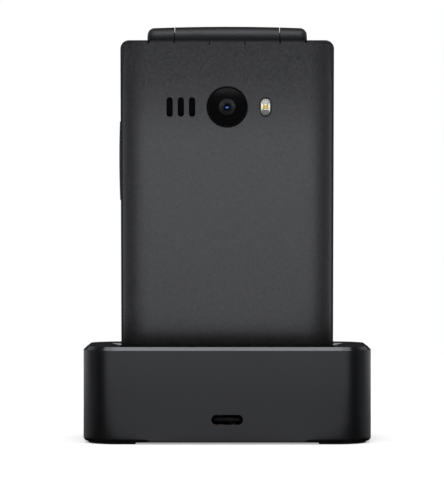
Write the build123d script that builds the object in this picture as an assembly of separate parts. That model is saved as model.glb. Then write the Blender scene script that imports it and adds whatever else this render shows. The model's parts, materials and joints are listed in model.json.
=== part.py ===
"""Flip phone standing closed in its charging dock, as separate pieces.

Row frame: millimetres, +Z up, Z = 0 on the table under the dock's feet, X and Y = 0 at the
middle of the dock.  The phone's back, with its camera, faces -Y and its lid faces +Y.

The phone is modelled in a frame of its own and then leaned into the dock.  In that frame Z runs
from its bottom end to its hinge and Y = 0 is the plane in which the two halves meet, so the
base half has negative Y and the lid positive Y.
"""
import os
from math import asin, cos, degrees, radians, sin

from build123d import *

# ---------------------------------------------------------------- the phone as a whole
PHONE_WIDTH = 56.7           # base half across its side frame
SHOULDER_Z = 97.0            # top of the base half beside the hinge barrel
LID_SIDE_STEP = 0.15         # how much the lid stays inside the base half on each side
TOP_CORNER = 2.3             # plan radius of the corners beside the hinge
BOTTOM_CORNER = 6.0
HALF_GAP = 0.2               # from the meeting plane to either half's rim
FIT = 0.1                    # clearance of a piece laid into a housing
PAST = 1.0                   # how far a cut runs past the face that it leaves through

LID_WIDTH = PHONE_WIDTH - 2 * LID_SIDE_STEP

# ---------------------------------------------------------------- hinge barrel
AXIS_DROP = 0.9              # from the shoulder down to the hinge axis
BARREL_RADIUS = 4.5
BARREL_INSET = 7.05          # from the phone's side to the outer end of an ear
BARREL_CROWN = 527.0         # radius of the long arc along the barrel's top
BARREL_END_ROUND = 1.9
EAR_LENGTH = 7.18            # each of the base half's two ears
KNUCKLE_GAP = 0.2            # between the lid's middle knuckle and an ear
BARREL_CLEARANCE = 0.15      # round the barrel, in the half it turns against
HINGE_SHAFT_RADIUS = 1.6
HINGE_RUNNING_FIT = 0.05
CAM_RADIUS = 2.6
HINGE_SHAFT_REACH = 5.3      # how far cam and pin enter the knuckle
EAR_END_WALL = 1.1

AXIS_Z = SHOULDER_Z - AXIS_DROP
BARREL_HALF = PHONE_WIDTH / 2 - BARREL_INSET
EAR_INNER = BARREL_HALF - EAR_LENGTH
KNUCKLE_HALF = EAR_INNER - KNUCKLE_GAP

# ---------------------------------------------------------------- base half
BASE_BACK = 10.6             # from the meeting plane to the battery cover's face
COVER_DEPTH = 4.0            # from the cover's face to its seam with the frame
COVER_INSET_SIDE = 0.56      # frame that shows beside the cover
COVER_INSET_TOP = 0.8        # frame that shows above the cover
COVER_WALL = 1.1
COVER_EDGE_RUN = 7.2         # width of the rounded edge along the cover's sides
COVER_EDGE_DROP = 3.9
COVER_END_RUN = 5.0          # the same at the bottom end
COVER_TOP_BEND = 22.0        # length of the gentle fall towards the hinge
COVER_TOP_FALL = 1.3         # how far the face has fallen at the hinge end
FRAME_WALL = 1.5
FRAME_BEVEL = 0.45
ROOM_CORNER = 1.0            # of the frame's inner room, beside its head
HEAD_HEIGHT = 6.5            # solid top end of the frame that holds the hinge
SHOULDER_CUT = 0.3           # shoulder left in front of each ear's outer end
NOTCH_X = 4.7                # two small notches in the cover's top edge
NOTCH_WIDTH = 0.4
NOTCH_DEPTH = 0.35

PARTING = BASE_BACK - COVER_DEPTH
COVER_HIGH = SHOULDER_Z - COVER_INSET_TOP
HEAD_LOW = SHOULDER_Z - HEAD_HEIGHT

# ---------------------------------------------------------------- camera row on the back
CAMERA_DROP = 17.6           # from the shoulder down to the camera's middle
CAMERA_RING_RADIUS = 5.45
CAMERA_GLASS_RADIUS = 5.0
CAMERA_RING_PROUD = 0.15
CAMERA_RING_BEVEL = 0.12
CAMERA_GLASS_SINK = 0.2
CAMERA_GLASS = 0.7
CAMERA_SEAT = 1.8            # depth of the ring in the cover
CAMERA_BODY = 8.4
CAMERA_BARREL_RADIUS = 3.1
LENS_OPENING = 0.85          # radius at the bottom of the lens's funnel
LENS_RIM = 0.5               # flat ring left round the funnel
LENS_FUNNEL = 0.55           # its depth
SPEAKER_X = -12.24
SLOT_PITCH = 2.96
SLOT_WIDTH = 1.67
SLOT_HEIGHT = 5.2
MESH_THICKNESS = 0.15
MESH_GAP = 0.3               # room for the cover's fall over the mesh
MESH_RIM = 1.0               # mesh beyond the slots
MESH_CORNER = 0.8
SPEAKER_WIDTH = 11.0
SPEAKER_HEIGHT = 12.0
SPEAKER_DEPTH = 3.6
SPEAKER_CORNER = 1.0
SPEAKER_STEM = 4.0           # side of its square stem to the board
FLASH_X = 10.13
FLASH_WIDTH = 3.2
FLASH_HEIGHT = 5.25
FLASH_RIM = 0.2
FLASH_SINK = 0.15
FLASH_LENS = 1.2
LED_SIDE = 1.6
LED_THICK = 0.5
LED_HOLDER_RIM = 0.4         # holder beyond each side of the flash's hole
LED_HOLDER_CORNER = 0.5

CAMERA_Z = SHOULDER_Z - CAMERA_DROP
SLOT_X = [SPEAKER_X + step * SLOT_PITCH for step in (-1, 0, 1)]

# ---------------------------------------------------------------- volume rocker
ROCKER_DROP = 21.6           # from the shoulder down to its upper end
ROCKER_LENGTH = 21.0
ROCKER_PROUD = 0.45
ROCKER_END_PROUD = 0.25
ROCKER_EDGE = 0.2            # rounding of the cap
ROCKER_THICK = 2.6           # along the phone's thickness
ROCKER_INSIDE = 0.45         # gap between its flange and the frame's wall
ROCKER_FLANGE = 0.5
ROCKER_FLANGE_RIM = 0.25     # flange beyond the cap's long sides
ROCKER_FLANGE_END = 0.5      # flange beyond the cap's ends
ROCKER_ROOM = 0.95           # behind the flange
ROCKER_ROOM_END = 1.5        # beyond the cap's ends
ROCKER_CLEARANCE = 0.15

ROCKER_HIGH = SHOULDER_Z - ROCKER_DROP
ROCKER_LOW = ROCKER_HIGH - ROCKER_LENGTH
ROCKER_Y = -(PARTING + HALF_GAP) / 2

# ---------------------------------------------------------------- keypad
DECK_SINK = 0.55             # from the meeting plane to the deck's face
DECK_THICK = 1.2
KEY_TOP = 0.25               # from the meeting plane to the key tops
KEY_FLANGE = 0.3
KEY_FLANGE_REACH = 0.35
KEY_FLANGE_GAP = 0.15
KEY_CLEARANCE = 0.15
KEY_EDGE = 0.2               # rounding of the key tops
KEY_CORNER = 1.6
KEY_MARGIN = 1.55            # from the frame's wall to the outer columns
COLUMN_GAP = 1.0
ROW_GAP = 1.3
KEYS_LOW = 7.95              # lower edge of the lowest row
CLEAR_HEIGHT = 6.4
CLEAR_GAP_LOW = 2.15         # between the clear key and the digits
CLEAR_GAP_HIGH = 2.9         # between the clear key and the ring
NAV_DROP = 19.0              # from the frame's head down to the ring's middle
NAV_RADIUS = 11.0
OK_RADIUS = 4.7
OK_GAP = 0.25
SIDE_KEY_GAP = 1.7           # between a side key and the ring
SIDE_KEY_MARGIN = 1.95       # from the frame's wall to the side keys
SIDE_KEY_HEIGHT = 10.4
SIDE_KEY_PITCH = 11.8
MICROPHONE_INSET = 8.85      # from the frame's wall
MICROPHONE_Z = 4.6
MICROPHONE_RADIUS = 0.4

WALL_X = PHONE_WIDTH / 2 - FRAME_WALL
DIGIT_WIDTH = (2 * (WALL_X - KEY_MARGIN) - 2 * COLUMN_GAP) / 3
COLUMN_PITCH = DIGIT_WIDTH + COLUMN_GAP
NAV_Z = HEAD_LOW - NAV_DROP
CLEAR_Z = NAV_Z - NAV_RADIUS - CLEAR_GAP_HIGH - CLEAR_HEIGHT / 2
DIGITS_HIGH = CLEAR_Z - CLEAR_HEIGHT / 2 - CLEAR_GAP_LOW
DIGIT_HEIGHT = (DIGITS_HIGH - KEYS_LOW - 3 * ROW_GAP) / 4
ROW_PITCH = DIGIT_HEIGHT + ROW_GAP
FIRST_ROW_Z = KEYS_LOW + DIGIT_HEIGHT / 2
SIDE_KEY_WIDTH = WALL_X - SIDE_KEY_MARGIN - NAV_RADIUS - SIDE_KEY_GAP
SIDE_KEY_X = NAV_RADIUS + SIDE_KEY_GAP + SIDE_KEY_WIDTH / 2

# ---------------------------------------------------------------- inside the base half
PRESS_ROOM = 0.45            # between the keys' flanges and the mat
MAT_THICK = 0.4
BOARD_THICK = 0.75
BOARD_GAP = 2.35             # between the board and the frame's wall
BOARD_LOW = 7.4
BOARD_CORNER = 1.0
MID_PLATE = 0.6
BATTERY_INSET = 6.85         # from the frame's wall
BATTERY_LOW = 11.0
BATTERY_GAP = 0.2            # between the battery and the cover
BATTERY_CORNER = 1.0
BAY_INSET = 4.85             # bay for speaker, camera and flash, from the frame's wall
BAY_BELOW = 9.4              # from the camera's middle to the bay's lower end
BAY_ABOVE = 9.1
BAY_CORNER = 1.0
BAY_RIM = 5.0                # mid plate between the bay and the battery
CAN_GAP = 2.2                # between the flash and the board's shield can
CAN_HEIGHT = 1.6
CAN_MARGIN_X = 1.0           # from the can to the bay's side
CAN_MARGIN_Z = 1.5           # and to its ends
POST_INSET = 3.65            # deck's screw posts from the frame's wall
POST_LOW_Z = 6.0
POST_DROP = 3.5              # from the frame's head down to the upper posts
POST_RADIUS = 1.5
SCREW_RADIUS = 0.7
SCREW_HEAD_RADIUS = 1.25
SCREW_HEAD = 0.6
USB_WIDTH = 8.94             # outside of a USB-C receptacle
USB_HEIGHT = 3.16
USB_MOUTH_WIDTH = 8.34
USB_MOUTH_HEIGHT = 2.56
USB_LENGTH = 6.6
USB_FLOOR = 5.0              # depth of the mouth
USB_ROOM = 0.5               # mid plate cut away beside the receptacle
TONGUE_WIDTH = 6.7
TONGUE_THICK = 0.7
TONGUE_LENGTH = 4.4
CONTACT_X = 9.0
CONTACT_Y = -2.9
CONTACT_SIDE = 2.0
CONTACT_SINK = 0.6
CONTACT_THICK = 1.6
MOTOR_RADIUS = 1.6
MOTOR_CAN = 8.0              # length of its can
MOTOR_SHAFT = 3.0            # shaft beyond the can
MOTOR_SHAFT_RADIUS = 0.4
MOTOR_WEIGHT = 2.6           # length of the weight
MOTOR_WEIGHT_STEP = 0.1      # weight inside the can's radius
MOTOR_WEIGHT_TOP = 0.2       # from the shaft's middle to the weight's flat
MOTOR_GAP = 0.3              # between the motor and the mid plate
MOTOR_X = 9.0
MOTOR_Z = 6.4

USB_Y = -(PARTING + HALF_GAP) / 2
MAT_BACK = DECK_SINK + DECK_THICK + KEY_FLANGE_GAP + KEY_FLANGE + PRESS_ROOM + MAT_THICK
BOARD_BACK = MAT_BACK + FIT + BOARD_THICK
MID_PLATE_BACK = BOARD_BACK + FIT + MID_PLATE
BATTERY_BACK = BASE_BACK - COVER_WALL - BATTERY_GAP
BATTERY_DEPTH = BATTERY_BACK - MID_PLATE_BACK - FIT
BAY_LOW = CAMERA_Z - BAY_BELOW
BAY_HIGH = CAMERA_Z + BAY_ABOVE
BAY_WIDTH = 2 * (WALL_X - BAY_INSET)
BOARD_WIDTH = 2 * (WALL_X - BOARD_GAP)
BOARD_HIGH = HEAD_LOW - BOARD_CORNER
BATTERY_WIDTH = 2 * (WALL_X - BATTERY_INSET)
BATTERY_HIGH = BAY_LOW - BAY_RIM
POST_X = WALL_X - POST_INSET
POST_HIGH_Z = HEAD_LOW - POST_DROP
MOTOR_Y = -MID_PLATE_BACK - MOTOR_GAP - MOTOR_RADIUS

# ---------------------------------------------------------------- lid
LID_FRONT = 7.6
LID_SEAM = 1.9               # from the meeting plane to the seam of bezel and cover
LID_LOW = 0.3
LID_TOP_DROP = 1.5           # from the hinge axis down to the lid's top end
LID_WALL = 1.2
LID_EDGE_RUN = 4.5
LID_EDGE_DROP = 3.4
LID_END_RUN = 5.0
LID_TOP_BEND = 14.0
LID_TOP_FALL = 0.7
LID_HEAD = 4.6               # height of the block under the knuckle
LID_HEAD_INSET = 11.2        # from the lid's side to that block
GLASS_INSET = 5.0            # from the lid's side to the main glass
GLASS_LOW = 16.5
GLASS_DROP = 14.1            # from the lid's top end down to the main glass
GLASS_THICK = 0.75
GLASS_SINK = 0.2
GLASS_CORNER = 1.5
VIEW_BORDER = 1.4            # glass beside what the main display shows
VIEW_END = 3.0               # glass above and below it
VIEW_CORNER = 0.5
LCD_MARGIN = 2.0
LCD_THICK = 1.9
LCD_CORNER = 0.5
WINDOW_INSET = 10.7          # from the lid's side to the outer display's window
WINDOW_LOW = 37.0
WINDOW_DROP = 15.6           # from the lid's top end down to the window
WINDOW_CORNER = 3.0
WINDOW_THICK = 0.8
WINDOW_BORDER = 3.2          # window round what the outer display shows
OUTER_VIEW_CORNER = 1.0
OUTER_LCD_MARGIN = 1.6
OUTER_LCD_THICK = 1.7
EARPIECE_DROP = 9.0          # from the lid's top end down to the earpiece
EARPIECE_WIDTH = 11.0
EARPIECE_HEIGHT = 4.0
EARPIECE_DEPTH = 2.2
EARPIECE_CORNER = 1.0
EARPIECE_SLOT_WIDTH = 9.0
EARPIECE_SLOT_HEIGHT = 1.2
MAGNET_X = 14.0
MAGNET_Z = 8.0
MAGNET_WIDTH = 6.0
MAGNET_SIDE = 3.0
BUMPER_RADIUS = 1.2
BUMPER_INSET = 3.6           # from the lid's side
BUMPER_SINK = 0.5
BUMPER_PROUD = 0.1
LID_SCREW_INSET = 4.8        # from the lid's side
LID_SCREW_LOW_Z = 9.5
LID_SCREW_DROP = 9.0         # from the lid's top end down to the upper screws
LID_BOSS_RADIUS = 1.9
LID_SCREW_LENGTH = 4.6

LID_HIGH = AXIS_Z - LID_TOP_DROP
GLASS_HIGH = LID_HIGH - GLASS_DROP
GLASS_WIDTH = LID_WIDTH - 2 * GLASS_INSET
VIEW_WIDTH = GLASS_WIDTH - 2 * VIEW_BORDER
WINDOW_HIGH = LID_HIGH - WINDOW_DROP
WINDOW_WIDTH = LID_WIDTH - 2 * WINDOW_INSET
OUTER_VIEW_WIDTH = WINDOW_WIDTH - 2 * WINDOW_BORDER
EARPIECE_Z = LID_HIGH - EARPIECE_DROP
BUMPER_X = LID_WIDTH / 2 - BUMPER_INSET
LID_SCREW_X = LID_WIDTH / 2 - LID_SCREW_INSET

# ---------------------------------------------------------------- how the phone stands
LEAN = 4.5                   # degrees towards -Y
SEAT_Y = -2.3                # the phone's bottom end in the row frame
SEAT_Z = 10.78
FLOOR_GAP = 0.1              # under the phone's bottom end

PHONE_SEAT = Location((0, SEAT_Y, SEAT_Z), (LEAN, 0, 0))

# ---------------------------------------------------------------- dock
DOCK_SIDE = 10.1             # from the phone's side to the dock's side
DOCK_DEPTH = 39.0
DOCK_HEIGHT = 25.7
DOCK_CORNER = 9.5
DOCK_CHAMFER = 0.95
DOCK_BOTTOM_ROUND = 1.0
DOCK_WALL = 1.8
POCKET_WALL = 1.4
POCKET_SIDE_GAP = 0.5        # beside the base half
POCKET_FLARE = 2.3           # how much wider each side of the pocket is at its front
POCKET_BACK_GAP = 0.4        # behind the phone's back
POCKET_FRONT_GAP = 3.5       # in front of the lid
MOUTH_CHAMFER = 0.6          # round the pocket's rim
LEAD_IN = 3.1                # how far the rim lies behind the pocket's back wall
LEAD_IN_DEPTH = 4.5          # along the phone, from the rim down
CHANNEL_GAP = 0.6            # beside the lid, where the front is cut open
BASE_PLATE = 2.0
FOOT_HEIGHT = 0.45
FOOT_SINK = 0.5
FOOT_TENON_RIM = 0.6         # base plate left outside the feet's recesses
FOOT_INSET = 1.3             # from the dock's outline
FOOT_LENGTH = 12.85
FOOT_DEPTH = 9.0
DOCK_BOSS_SIDE = 4.95        # screw bosses from the dock's sides
DOCK_BOSS_END = 7.0          # and from its front and back
DOCK_BOSS_RADIUS = 2.5
DOCK_BOSS_ROOF = 6.7         # from the dock's top down to the screw holes
DOCK_SCREW_RADIUS = 1.0
DOCK_SCREW_HEAD_RADIUS = 1.9
DOCK_SCREW_HEAD = 0.9
DOCK_SCREW_SEAT = 0.5        # base plate left above the screw heads
DOCK_SCREW_LENGTH = 9.0
DOCK_USB_Z = 6.56
DOCK_USB_LIP = 0.5           # shell left in front of the receptacle
DOCK_BOARD_WIDTH = 40.0
DOCK_BOARD_DEPTH = 9.0
DOCK_BOARD_THICK = 1.0
PIN_RADIUS = 0.75
PIN_TIP_ROUND = 0.525
PIN_COLLAR_RADIUS = 1.1
PIN_COLLAR = 0.8
PIN_LENGTH = 4.6
PIN_TRAVEL = 0.8
PIN_TIP_GAP = 0.05
PIN_FIT = 0.05
PIN_BLOCK_DEPTH = 5.0
PIN_BLOCK_MARGIN = 3.0
PIN_BLOCK_FLOOR = 0.6
WEIGHT_SIDE = 10.35          # from the dock's side
WEIGHT_DEPTH = 14.0
WEIGHT_THICK = 5.0
WEIGHT_Y = 9.0

DOCK_WIDTH = PHONE_WIDTH + 2 * DOCK_SIDE
DOCK_BOSS_X = DOCK_WIDTH / 2 - DOCK_BOSS_SIDE
DOCK_BOSS_Y = DOCK_DEPTH / 2 - DOCK_BOSS_END
DOCK_BOSS_TOP = DOCK_HEIGHT - DOCK_BOSS_ROOF
DOCK_SCREW_Z = FOOT_HEIGHT + BASE_PLATE - DOCK_SCREW_SEAT


# ---------------------------------------------------------------- drawing helpers
def slab(profile, y_low, y_high):
    """A piece cut to an outline in X and Z, running between two depths in Y."""
    plane = Plane(origin=(0, y_high, 0), x_dir=(1, 0, 0), z_dir=(0, -1, 0))
    return extrude(plane * profile, amount=y_high - y_low)


def prism(profile, x_low, x_high):
    """A piece cut to an outline in Y and Z, running between two places in X."""
    plane = Plane(origin=(x_low, 0, 0), x_dir=(0, 1, 0), z_dir=(1, 0, 0))
    return extrude(plane * profile, amount=x_high - x_low)


def column(profile, z_low, z_high):
    """A piece cut to an outline in X and Y, running between two heights."""
    return extrude(Plane.XY.offset(z_low) * profile, amount=z_high - z_low)


def block(x_range, y_range, z_range):
    """A box given by its low and high limits along X, Y and Z."""
    limits = (x_range, y_range, z_range)
    middle = [(low + high) / 2 for low, high in limits]
    size = [high - low for low, high in limits]
    return Pos(*middle) * Box(*size)


def rod_x(radius, x_low, x_high, y, z):
    """A round rod along X."""
    return Pos((x_low + x_high) / 2, y, z) * Rot(0, 90, 0) * Cylinder(radius, x_high - x_low)


def rod_y(radius, y_low, y_high, x, z):
    """A round rod along Y."""
    return Pos(x, (y_low + y_high) / 2, z) * Rot(90, 0, 0) * Cylinder(radius, y_high - y_low)


def rod_z(radius, z_low, z_high, x, y):
    """A round rod along Z."""
    return Pos(x, y, (z_low + z_high) / 2) * Cylinder(radius, z_high - z_low)


def rounded(width, low, high, radius, x=0.0):
    """An upright rectangle with one corner radius, centred on x."""
    return Pos(x, (low + high) / 2) * RectangleRounded(width, high - low, radius)


def outline(width, low, high, top_radius, bottom_radius):
    """An upright rectangle with one radius for its top corners and one for its bottom corners."""
    shape = Pos(0, (low + high) / 2) * Rectangle(width, high - low)
    shape = fillet(shape.vertices().group_by(Axis.Y)[-1], top_radius)
    return fillet(shape.vertices().group_by(Axis.Y)[0], bottom_radius)


def upright_slot(width, height, x, z):
    """An upright slot with round ends."""
    return Pos(x, z) * SlotOverall(height, width, rotation=90)


def together(pieces):
    """Separate solids as one piece, or solids that touch as one solid."""
    pieces = list(pieces)
    whole = pieces[0]
    for piece in pieces[1:]:
        whole += piece
    return whole


def both_sides(x):
    """A place and its mirror image across the middle."""
    return (-x, x)


def casing(half_width, low, high, face_y, seat_y, edge, end_run, bend, corners):
    """A casing half as a full solid, with rounded sides and a face that falls away to the hinge.

    edge is the width and the depth of its rounded sides, end_run the length of the rounding at
    the bottom end, bend the height where the face starts to fall and the radius of that fall,
    and corners the plan radii of the top and the bottom corners.
    """
    away = 1 if face_y > seat_y else -1
    edge_run, edge_drop = edge
    bend_z, bend_radius = bend
    turn = face_y - away * edge_drop
    flat = half_width - edge_run
    deep = seat_y - away * edge_drop
    section = make_face([
        EllipticalCenterArc((flat, turn), edge_run, edge_drop, 0, arc_size=away * 90),
        Line((flat, face_y), (-flat, face_y)),
        EllipticalCenterArc((-flat, turn), edge_run, edge_drop, 180, arc_size=-away * 90),
        Polyline((-half_width, turn), (-half_width, deep), (half_width, deep), (half_width, turn)),
    ])
    straight = column(section, low, bend_z)
    centre = Axis((0, face_y - away * bend_radius, bend_z), (away, 0, 0))
    sweep = 2 * degrees(asin((high - bend_z) / bend_radius))
    bent = revolve(Pos(0, 0, bend_z) * section, centre, sweep)
    side = make_face([
        EllipticalCenterArc((turn, low + end_run), edge_drop, end_run, -90 if away > 0 else 270,
                            arc_size=away * 90),
        Polyline((face_y, low + end_run), (face_y, high), (seat_y, high), (seat_y, low), (turn, low)),
    ])
    plan = outline(2 * half_width, low, high, *corners)
    y_low, y_high = sorted((face_y, seat_y))
    return (straight + bent) & prism(side, -half_width, half_width) & slab(plan, y_low, y_high)


def bend_radius(run, fall):
    """Radius of an arc that falls by one length over another."""
    return (run ** 2 + fall ** 2) / (2 * fall)


def barrel(x_low, x_high):
    """A length of the crowned hinge barrel."""
    arch = Pos(0, BARREL_RADIUS - BARREL_CROWN) * Circle(BARREL_CROWN)
    strip = Pos((x_low + x_high) / 2, BARREL_RADIUS / 2) * Rectangle(x_high - x_low, BARREL_RADIUS)
    half = arch & strip
    return Pos(0, 0, AXIS_Z) * revolve(half, Axis.X)


def barrel_room(x_low, x_high, clearance):
    """The round space that the barrel turns in."""
    return rod_x(BARREL_RADIUS + clearance, x_low, x_high, 0, AXIS_Z)


# ---------------------------------------------------------------- base half of the phone
def make_rear_cover():
    """Battery cover: a thin shell with the speaker slots, the camera hole and the flash hole."""
    half = PHONE_WIDTH / 2 - COVER_INSET_SIDE
    low = COVER_INSET_SIDE
    corners = (TOP_CORNER - COVER_INSET_SIDE, BOTTOM_CORNER - COVER_INSET_SIDE)
    bend_z = COVER_HIGH - COVER_TOP_BEND
    radius = bend_radius(COVER_TOP_BEND, COVER_TOP_FALL)
    wall = COVER_WALL
    outer = casing(half, low, COVER_HIGH, -BASE_BACK, -PARTING, (COVER_EDGE_RUN, COVER_EDGE_DROP),
                   COVER_END_RUN, (bend_z, radius), corners)
    inner = casing(half - wall, low + wall, COVER_HIGH - wall, wall - BASE_BACK, -PARTING,
                   (COVER_EDGE_RUN - wall, COVER_EDGE_DROP - wall), COVER_END_RUN - wall,
                   (bend_z, radius - wall), (corners[0] - wall, corners[1] - wall))
    shell = outer - inner
    through = (-BASE_BACK - PAST, -PARTING)
    for x in SLOT_X:
        shell -= slab(upright_slot(SLOT_WIDTH, SLOT_HEIGHT, x, CAMERA_Z), *through)
    for x in both_sides(NOTCH_X):
        shell -= block((x - NOTCH_WIDTH / 2, x + NOTCH_WIDTH / 2), through,
                       (COVER_HIGH - NOTCH_DEPTH, COVER_HIGH + PAST))
    shell -= rod_y(CAMERA_RING_RADIUS, *through, 0, CAMERA_Z)
    return shell - slab(upright_slot(FLASH_WIDTH, FLASH_HEIGHT, FLASH_X, CAMERA_Z), *through)


def make_base_frame():
    """Side frame with its mid plate, the solid head and the two ears of the hinge."""
    frame = slab(outline(PHONE_WIDTH, 0, SHOULDER_Z, TOP_CORNER, BOTTOM_CORNER), -PARTING, -HALF_GAP)
    frame = chamfer(frame.faces().sort_by(Axis.Y)[0].edges(), FRAME_BEVEL)
    room = outline(2 * WALL_X, FRAME_WALL, HEAD_LOW, ROOM_CORNER, BOTTOM_CORNER - FRAME_WALL)
    frame -= slab(room, -PARTING - PAST, -MID_PLATE_BACK)
    frame -= slab(room, MID_PLATE - MID_PLATE_BACK, 0)
    behind_plate = (-MID_PLATE_BACK - PAST, 0)
    frame -= slab(rounded(BAY_WIDTH, BAY_LOW, BAY_HIGH, BAY_CORNER), *behind_plate)
    frame -= block((-USB_WIDTH / 2 - USB_ROOM, USB_WIDTH / 2 + USB_ROOM), behind_plate,
                   (FRAME_WALL, BOARD_LOW))
    frame -= barrel_room(-EAR_INNER, EAR_INNER, BARREL_CLEARANCE)
    cut = BARREL_HALF - SHOULDER_CUT
    frame -= block((-cut, cut), (-PARTING - PAST, 0), (COVER_HIGH, SHOULDER_Z + PAST))
    for side in (-1, 1):
        x_low, x_high = sorted((side * EAR_INNER, side * BARREL_HALF))
        ear = barrel(x_low, x_high)
        end = ear.faces().sort_by(Axis.X)[-1 if side > 0 else 0]
        frame += fillet(end.edges(), BARREL_END_ROUND)
        radius = CAM_RADIUS if side < 0 else HINGE_SHAFT_RADIUS
        bore = sorted((side * EAR_INNER, side * (BARREL_HALF - EAR_END_WALL)))
        frame -= rod_x(radius, *bore, 0, AXIS_Z)
    frame -= slab(rocker_plan(ROCKER_CLEARANCE), *rocker_depth(ROCKER_CLEARANCE))
    room_x = ROCKER_INSIDE + ROCKER_FLANGE + ROCKER_ROOM - WALL_X
    frame -= block((-WALL_X, room_x), behind_plate,
                   (ROCKER_LOW - ROCKER_ROOM_END, ROCKER_HIGH + ROCKER_ROOM_END))
    frame -= usb_hole(FIT / 2)
    for x in both_sides(CONTACT_X):
        reach = CONTACT_SIDE / 2
        frame -= block((x - reach, x + reach), (CONTACT_Y - reach, CONTACT_Y + reach), (-PAST, FRAME_WALL))
    for x, z in post_places():
        frame -= rod_y(SCREW_RADIUS, *behind_plate, x, z)
    return frame


def rocker_plan(clearance):
    """Outline of the rocker's cap in X and Z, grown by a clearance."""
    half = PHONE_WIDTH / 2
    low, high = ROCKER_LOW - clearance, ROCKER_HIGH + clearance
    end_x = -half - ROCKER_END_PROUD
    inner_x = ROCKER_INSIDE - WALL_X
    return make_face([
        ThreePointArc((end_x, low), (-half - ROCKER_PROUD, (low + high) / 2), (end_x, high)),
        Polyline((end_x, high), (inner_x, high), (inner_x, low), (end_x, low)),
    ])


def rocker_depth(clearance):
    """Low and high Y of the rocker's cap, grown by a clearance."""
    reach = ROCKER_THICK / 2 + clearance
    return (ROCKER_Y - reach, ROCKER_Y + reach)


def make_volume_rocker():
    """Volume rocker: a bowed cap outside the frame's wall and a flange inside it."""
    cap = slab(rocker_plan(0), *rocker_depth(0))
    outer = cap.faces().sort_by(Axis.X)[0]
    cap = fillet(outer.edges(), ROCKER_EDGE)
    inner_x = ROCKER_INSIDE - WALL_X
    reach = ROCKER_THICK / 2 + ROCKER_FLANGE_RIM
    return cap + block((inner_x, inner_x + ROCKER_FLANGE), (ROCKER_Y - reach, ROCKER_Y + reach),
                       (ROCKER_LOW - ROCKER_FLANGE_END, ROCKER_HIGH + ROCKER_FLANGE_END))


def post_places():
    """Where the keypad deck is screwed to the frame, in X and Z."""
    return [(x, z) for x in both_sides(POST_X) for z in (POST_LOW_Z, POST_HIGH_Z)]


def key_places():
    """Every oblong key as name, x, z, width and height.

    The user faces the keypad from +Y, so the user's left column is at +X.
    """
    places = []
    names = ["key_star", "key_0", "key_hash"] + [f"key_{n}" for n in (7, 8, 9, 4, 5, 6, 1, 2, 3)]
    for index, name in enumerate(names):
        x = (1 - index % 3) * COLUMN_PITCH
        z = FIRST_ROW_Z + index // 3 * ROW_PITCH
        places.append((name, x, z, DIGIT_WIDTH, DIGIT_HEIGHT))
    places.append(("key_clear", 0, CLEAR_Z, DIGIT_WIDTH, CLEAR_HEIGHT))
    for side, soft, call in ((1, "key_soft_left", "key_call"), (-1, "key_soft_right", "key_end")):
        for name, step in ((soft, 0.5), (call, -0.5)):
            z = NAV_Z + step * SIDE_KEY_PITCH
            places.append((name, side * SIDE_KEY_X, z, SIDE_KEY_WIDTH, SIDE_KEY_HEIGHT))
    return places


def key_depths():
    """Y of the key's top, of the top of its flange and of the flange's back."""
    flange_top = -DECK_SINK - DECK_THICK - KEY_FLANGE_GAP
    return -KEY_TOP, flange_top, flange_top - KEY_FLANGE


def make_key(x, z, width, height):
    """An oblong key: a cap that stands in the deck's hole, on a wider flange under the deck."""
    top, flange_top, back = key_depths()
    cap = slab(rounded(width, z - height / 2, z + height / 2, KEY_CORNER, x), flange_top, top)
    cap = fillet(cap.faces().sort_by(Axis.Y)[-1].edges(), KEY_EDGE)
    reach = KEY_FLANGE_REACH
    flange = rounded(width + 2 * reach, z - height / 2 - reach, z + height / 2 + reach,
                     KEY_CORNER + reach, x)
    return cap + slab(flange, back, flange_top)


def make_nav_ring():
    """Four-way ring round the middle key."""
    top, flange_top, back = key_depths()
    ring = rod_y(NAV_RADIUS, flange_top, top, 0, NAV_Z)
    ring = fillet(ring.faces().sort_by(Axis.Y)[-1].edges(), KEY_EDGE)
    ring += rod_y(NAV_RADIUS + KEY_FLANGE_REACH, back, flange_top, 0, NAV_Z)
    return ring - rod_y(OK_RADIUS + OK_GAP, back - PAST, PAST, 0, NAV_Z)


def make_ok_key():
    """Round key in the middle of the ring."""
    top, _, back = key_depths()
    key = rod_y(OK_RADIUS, back, top, 0, NAV_Z)
    return fillet(key.faces().sort_by(Axis.Y)[-1].edges(), KEY_EDGE)


def make_keypad_deck():
    """Front plate of the base half, with a hole for each key and four screw posts."""
    inset = FRAME_WALL + FIT
    plan = outline(PHONE_WIDTH - 2 * inset, inset, HEAD_LOW - FIT, ROOM_CORNER - FIT, BOTTOM_CORNER - inset)
    back = -DECK_SINK - DECK_THICK
    deck = slab(plan, back, -DECK_SINK)
    for _, x, z, width, height in key_places():
        grow = KEY_CLEARANCE
        hole = rounded(width + 2 * grow, z - height / 2 - grow, z + height / 2 + grow,
                       KEY_CORNER + grow, x)
        deck -= slab(hole, back - PAST, 0)
    deck -= rod_y(NAV_RADIUS + KEY_CLEARANCE, back - PAST, 0, 0, NAV_Z)
    deck -= rod_y(MICROPHONE_RADIUS, back - PAST, 0, WALL_X - MICROPHONE_INSET, MICROPHONE_Z)
    for x, z in post_places():
        deck += rod_y(POST_RADIUS, MID_PLATE - MID_PLATE_BACK, back, x, z)
        deck -= rod_y(SCREW_RADIUS, MID_PLATE - MID_PLATE_BACK, back - FIT, x, z)
    return deck


def make_base_screws():
    """Four screws that hold the deck to the frame's mid plate."""
    tip = -DECK_SINK - DECK_THICK - 2 * FIT
    return together(
        rod_y(SCREW_RADIUS, -MID_PLATE_BACK, tip, x, z)
        + rod_y(SCREW_HEAD_RADIUS, -MID_PLATE_BACK - SCREW_HEAD, -MID_PLATE_BACK, x, z)
        for x, z in post_places())


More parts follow.
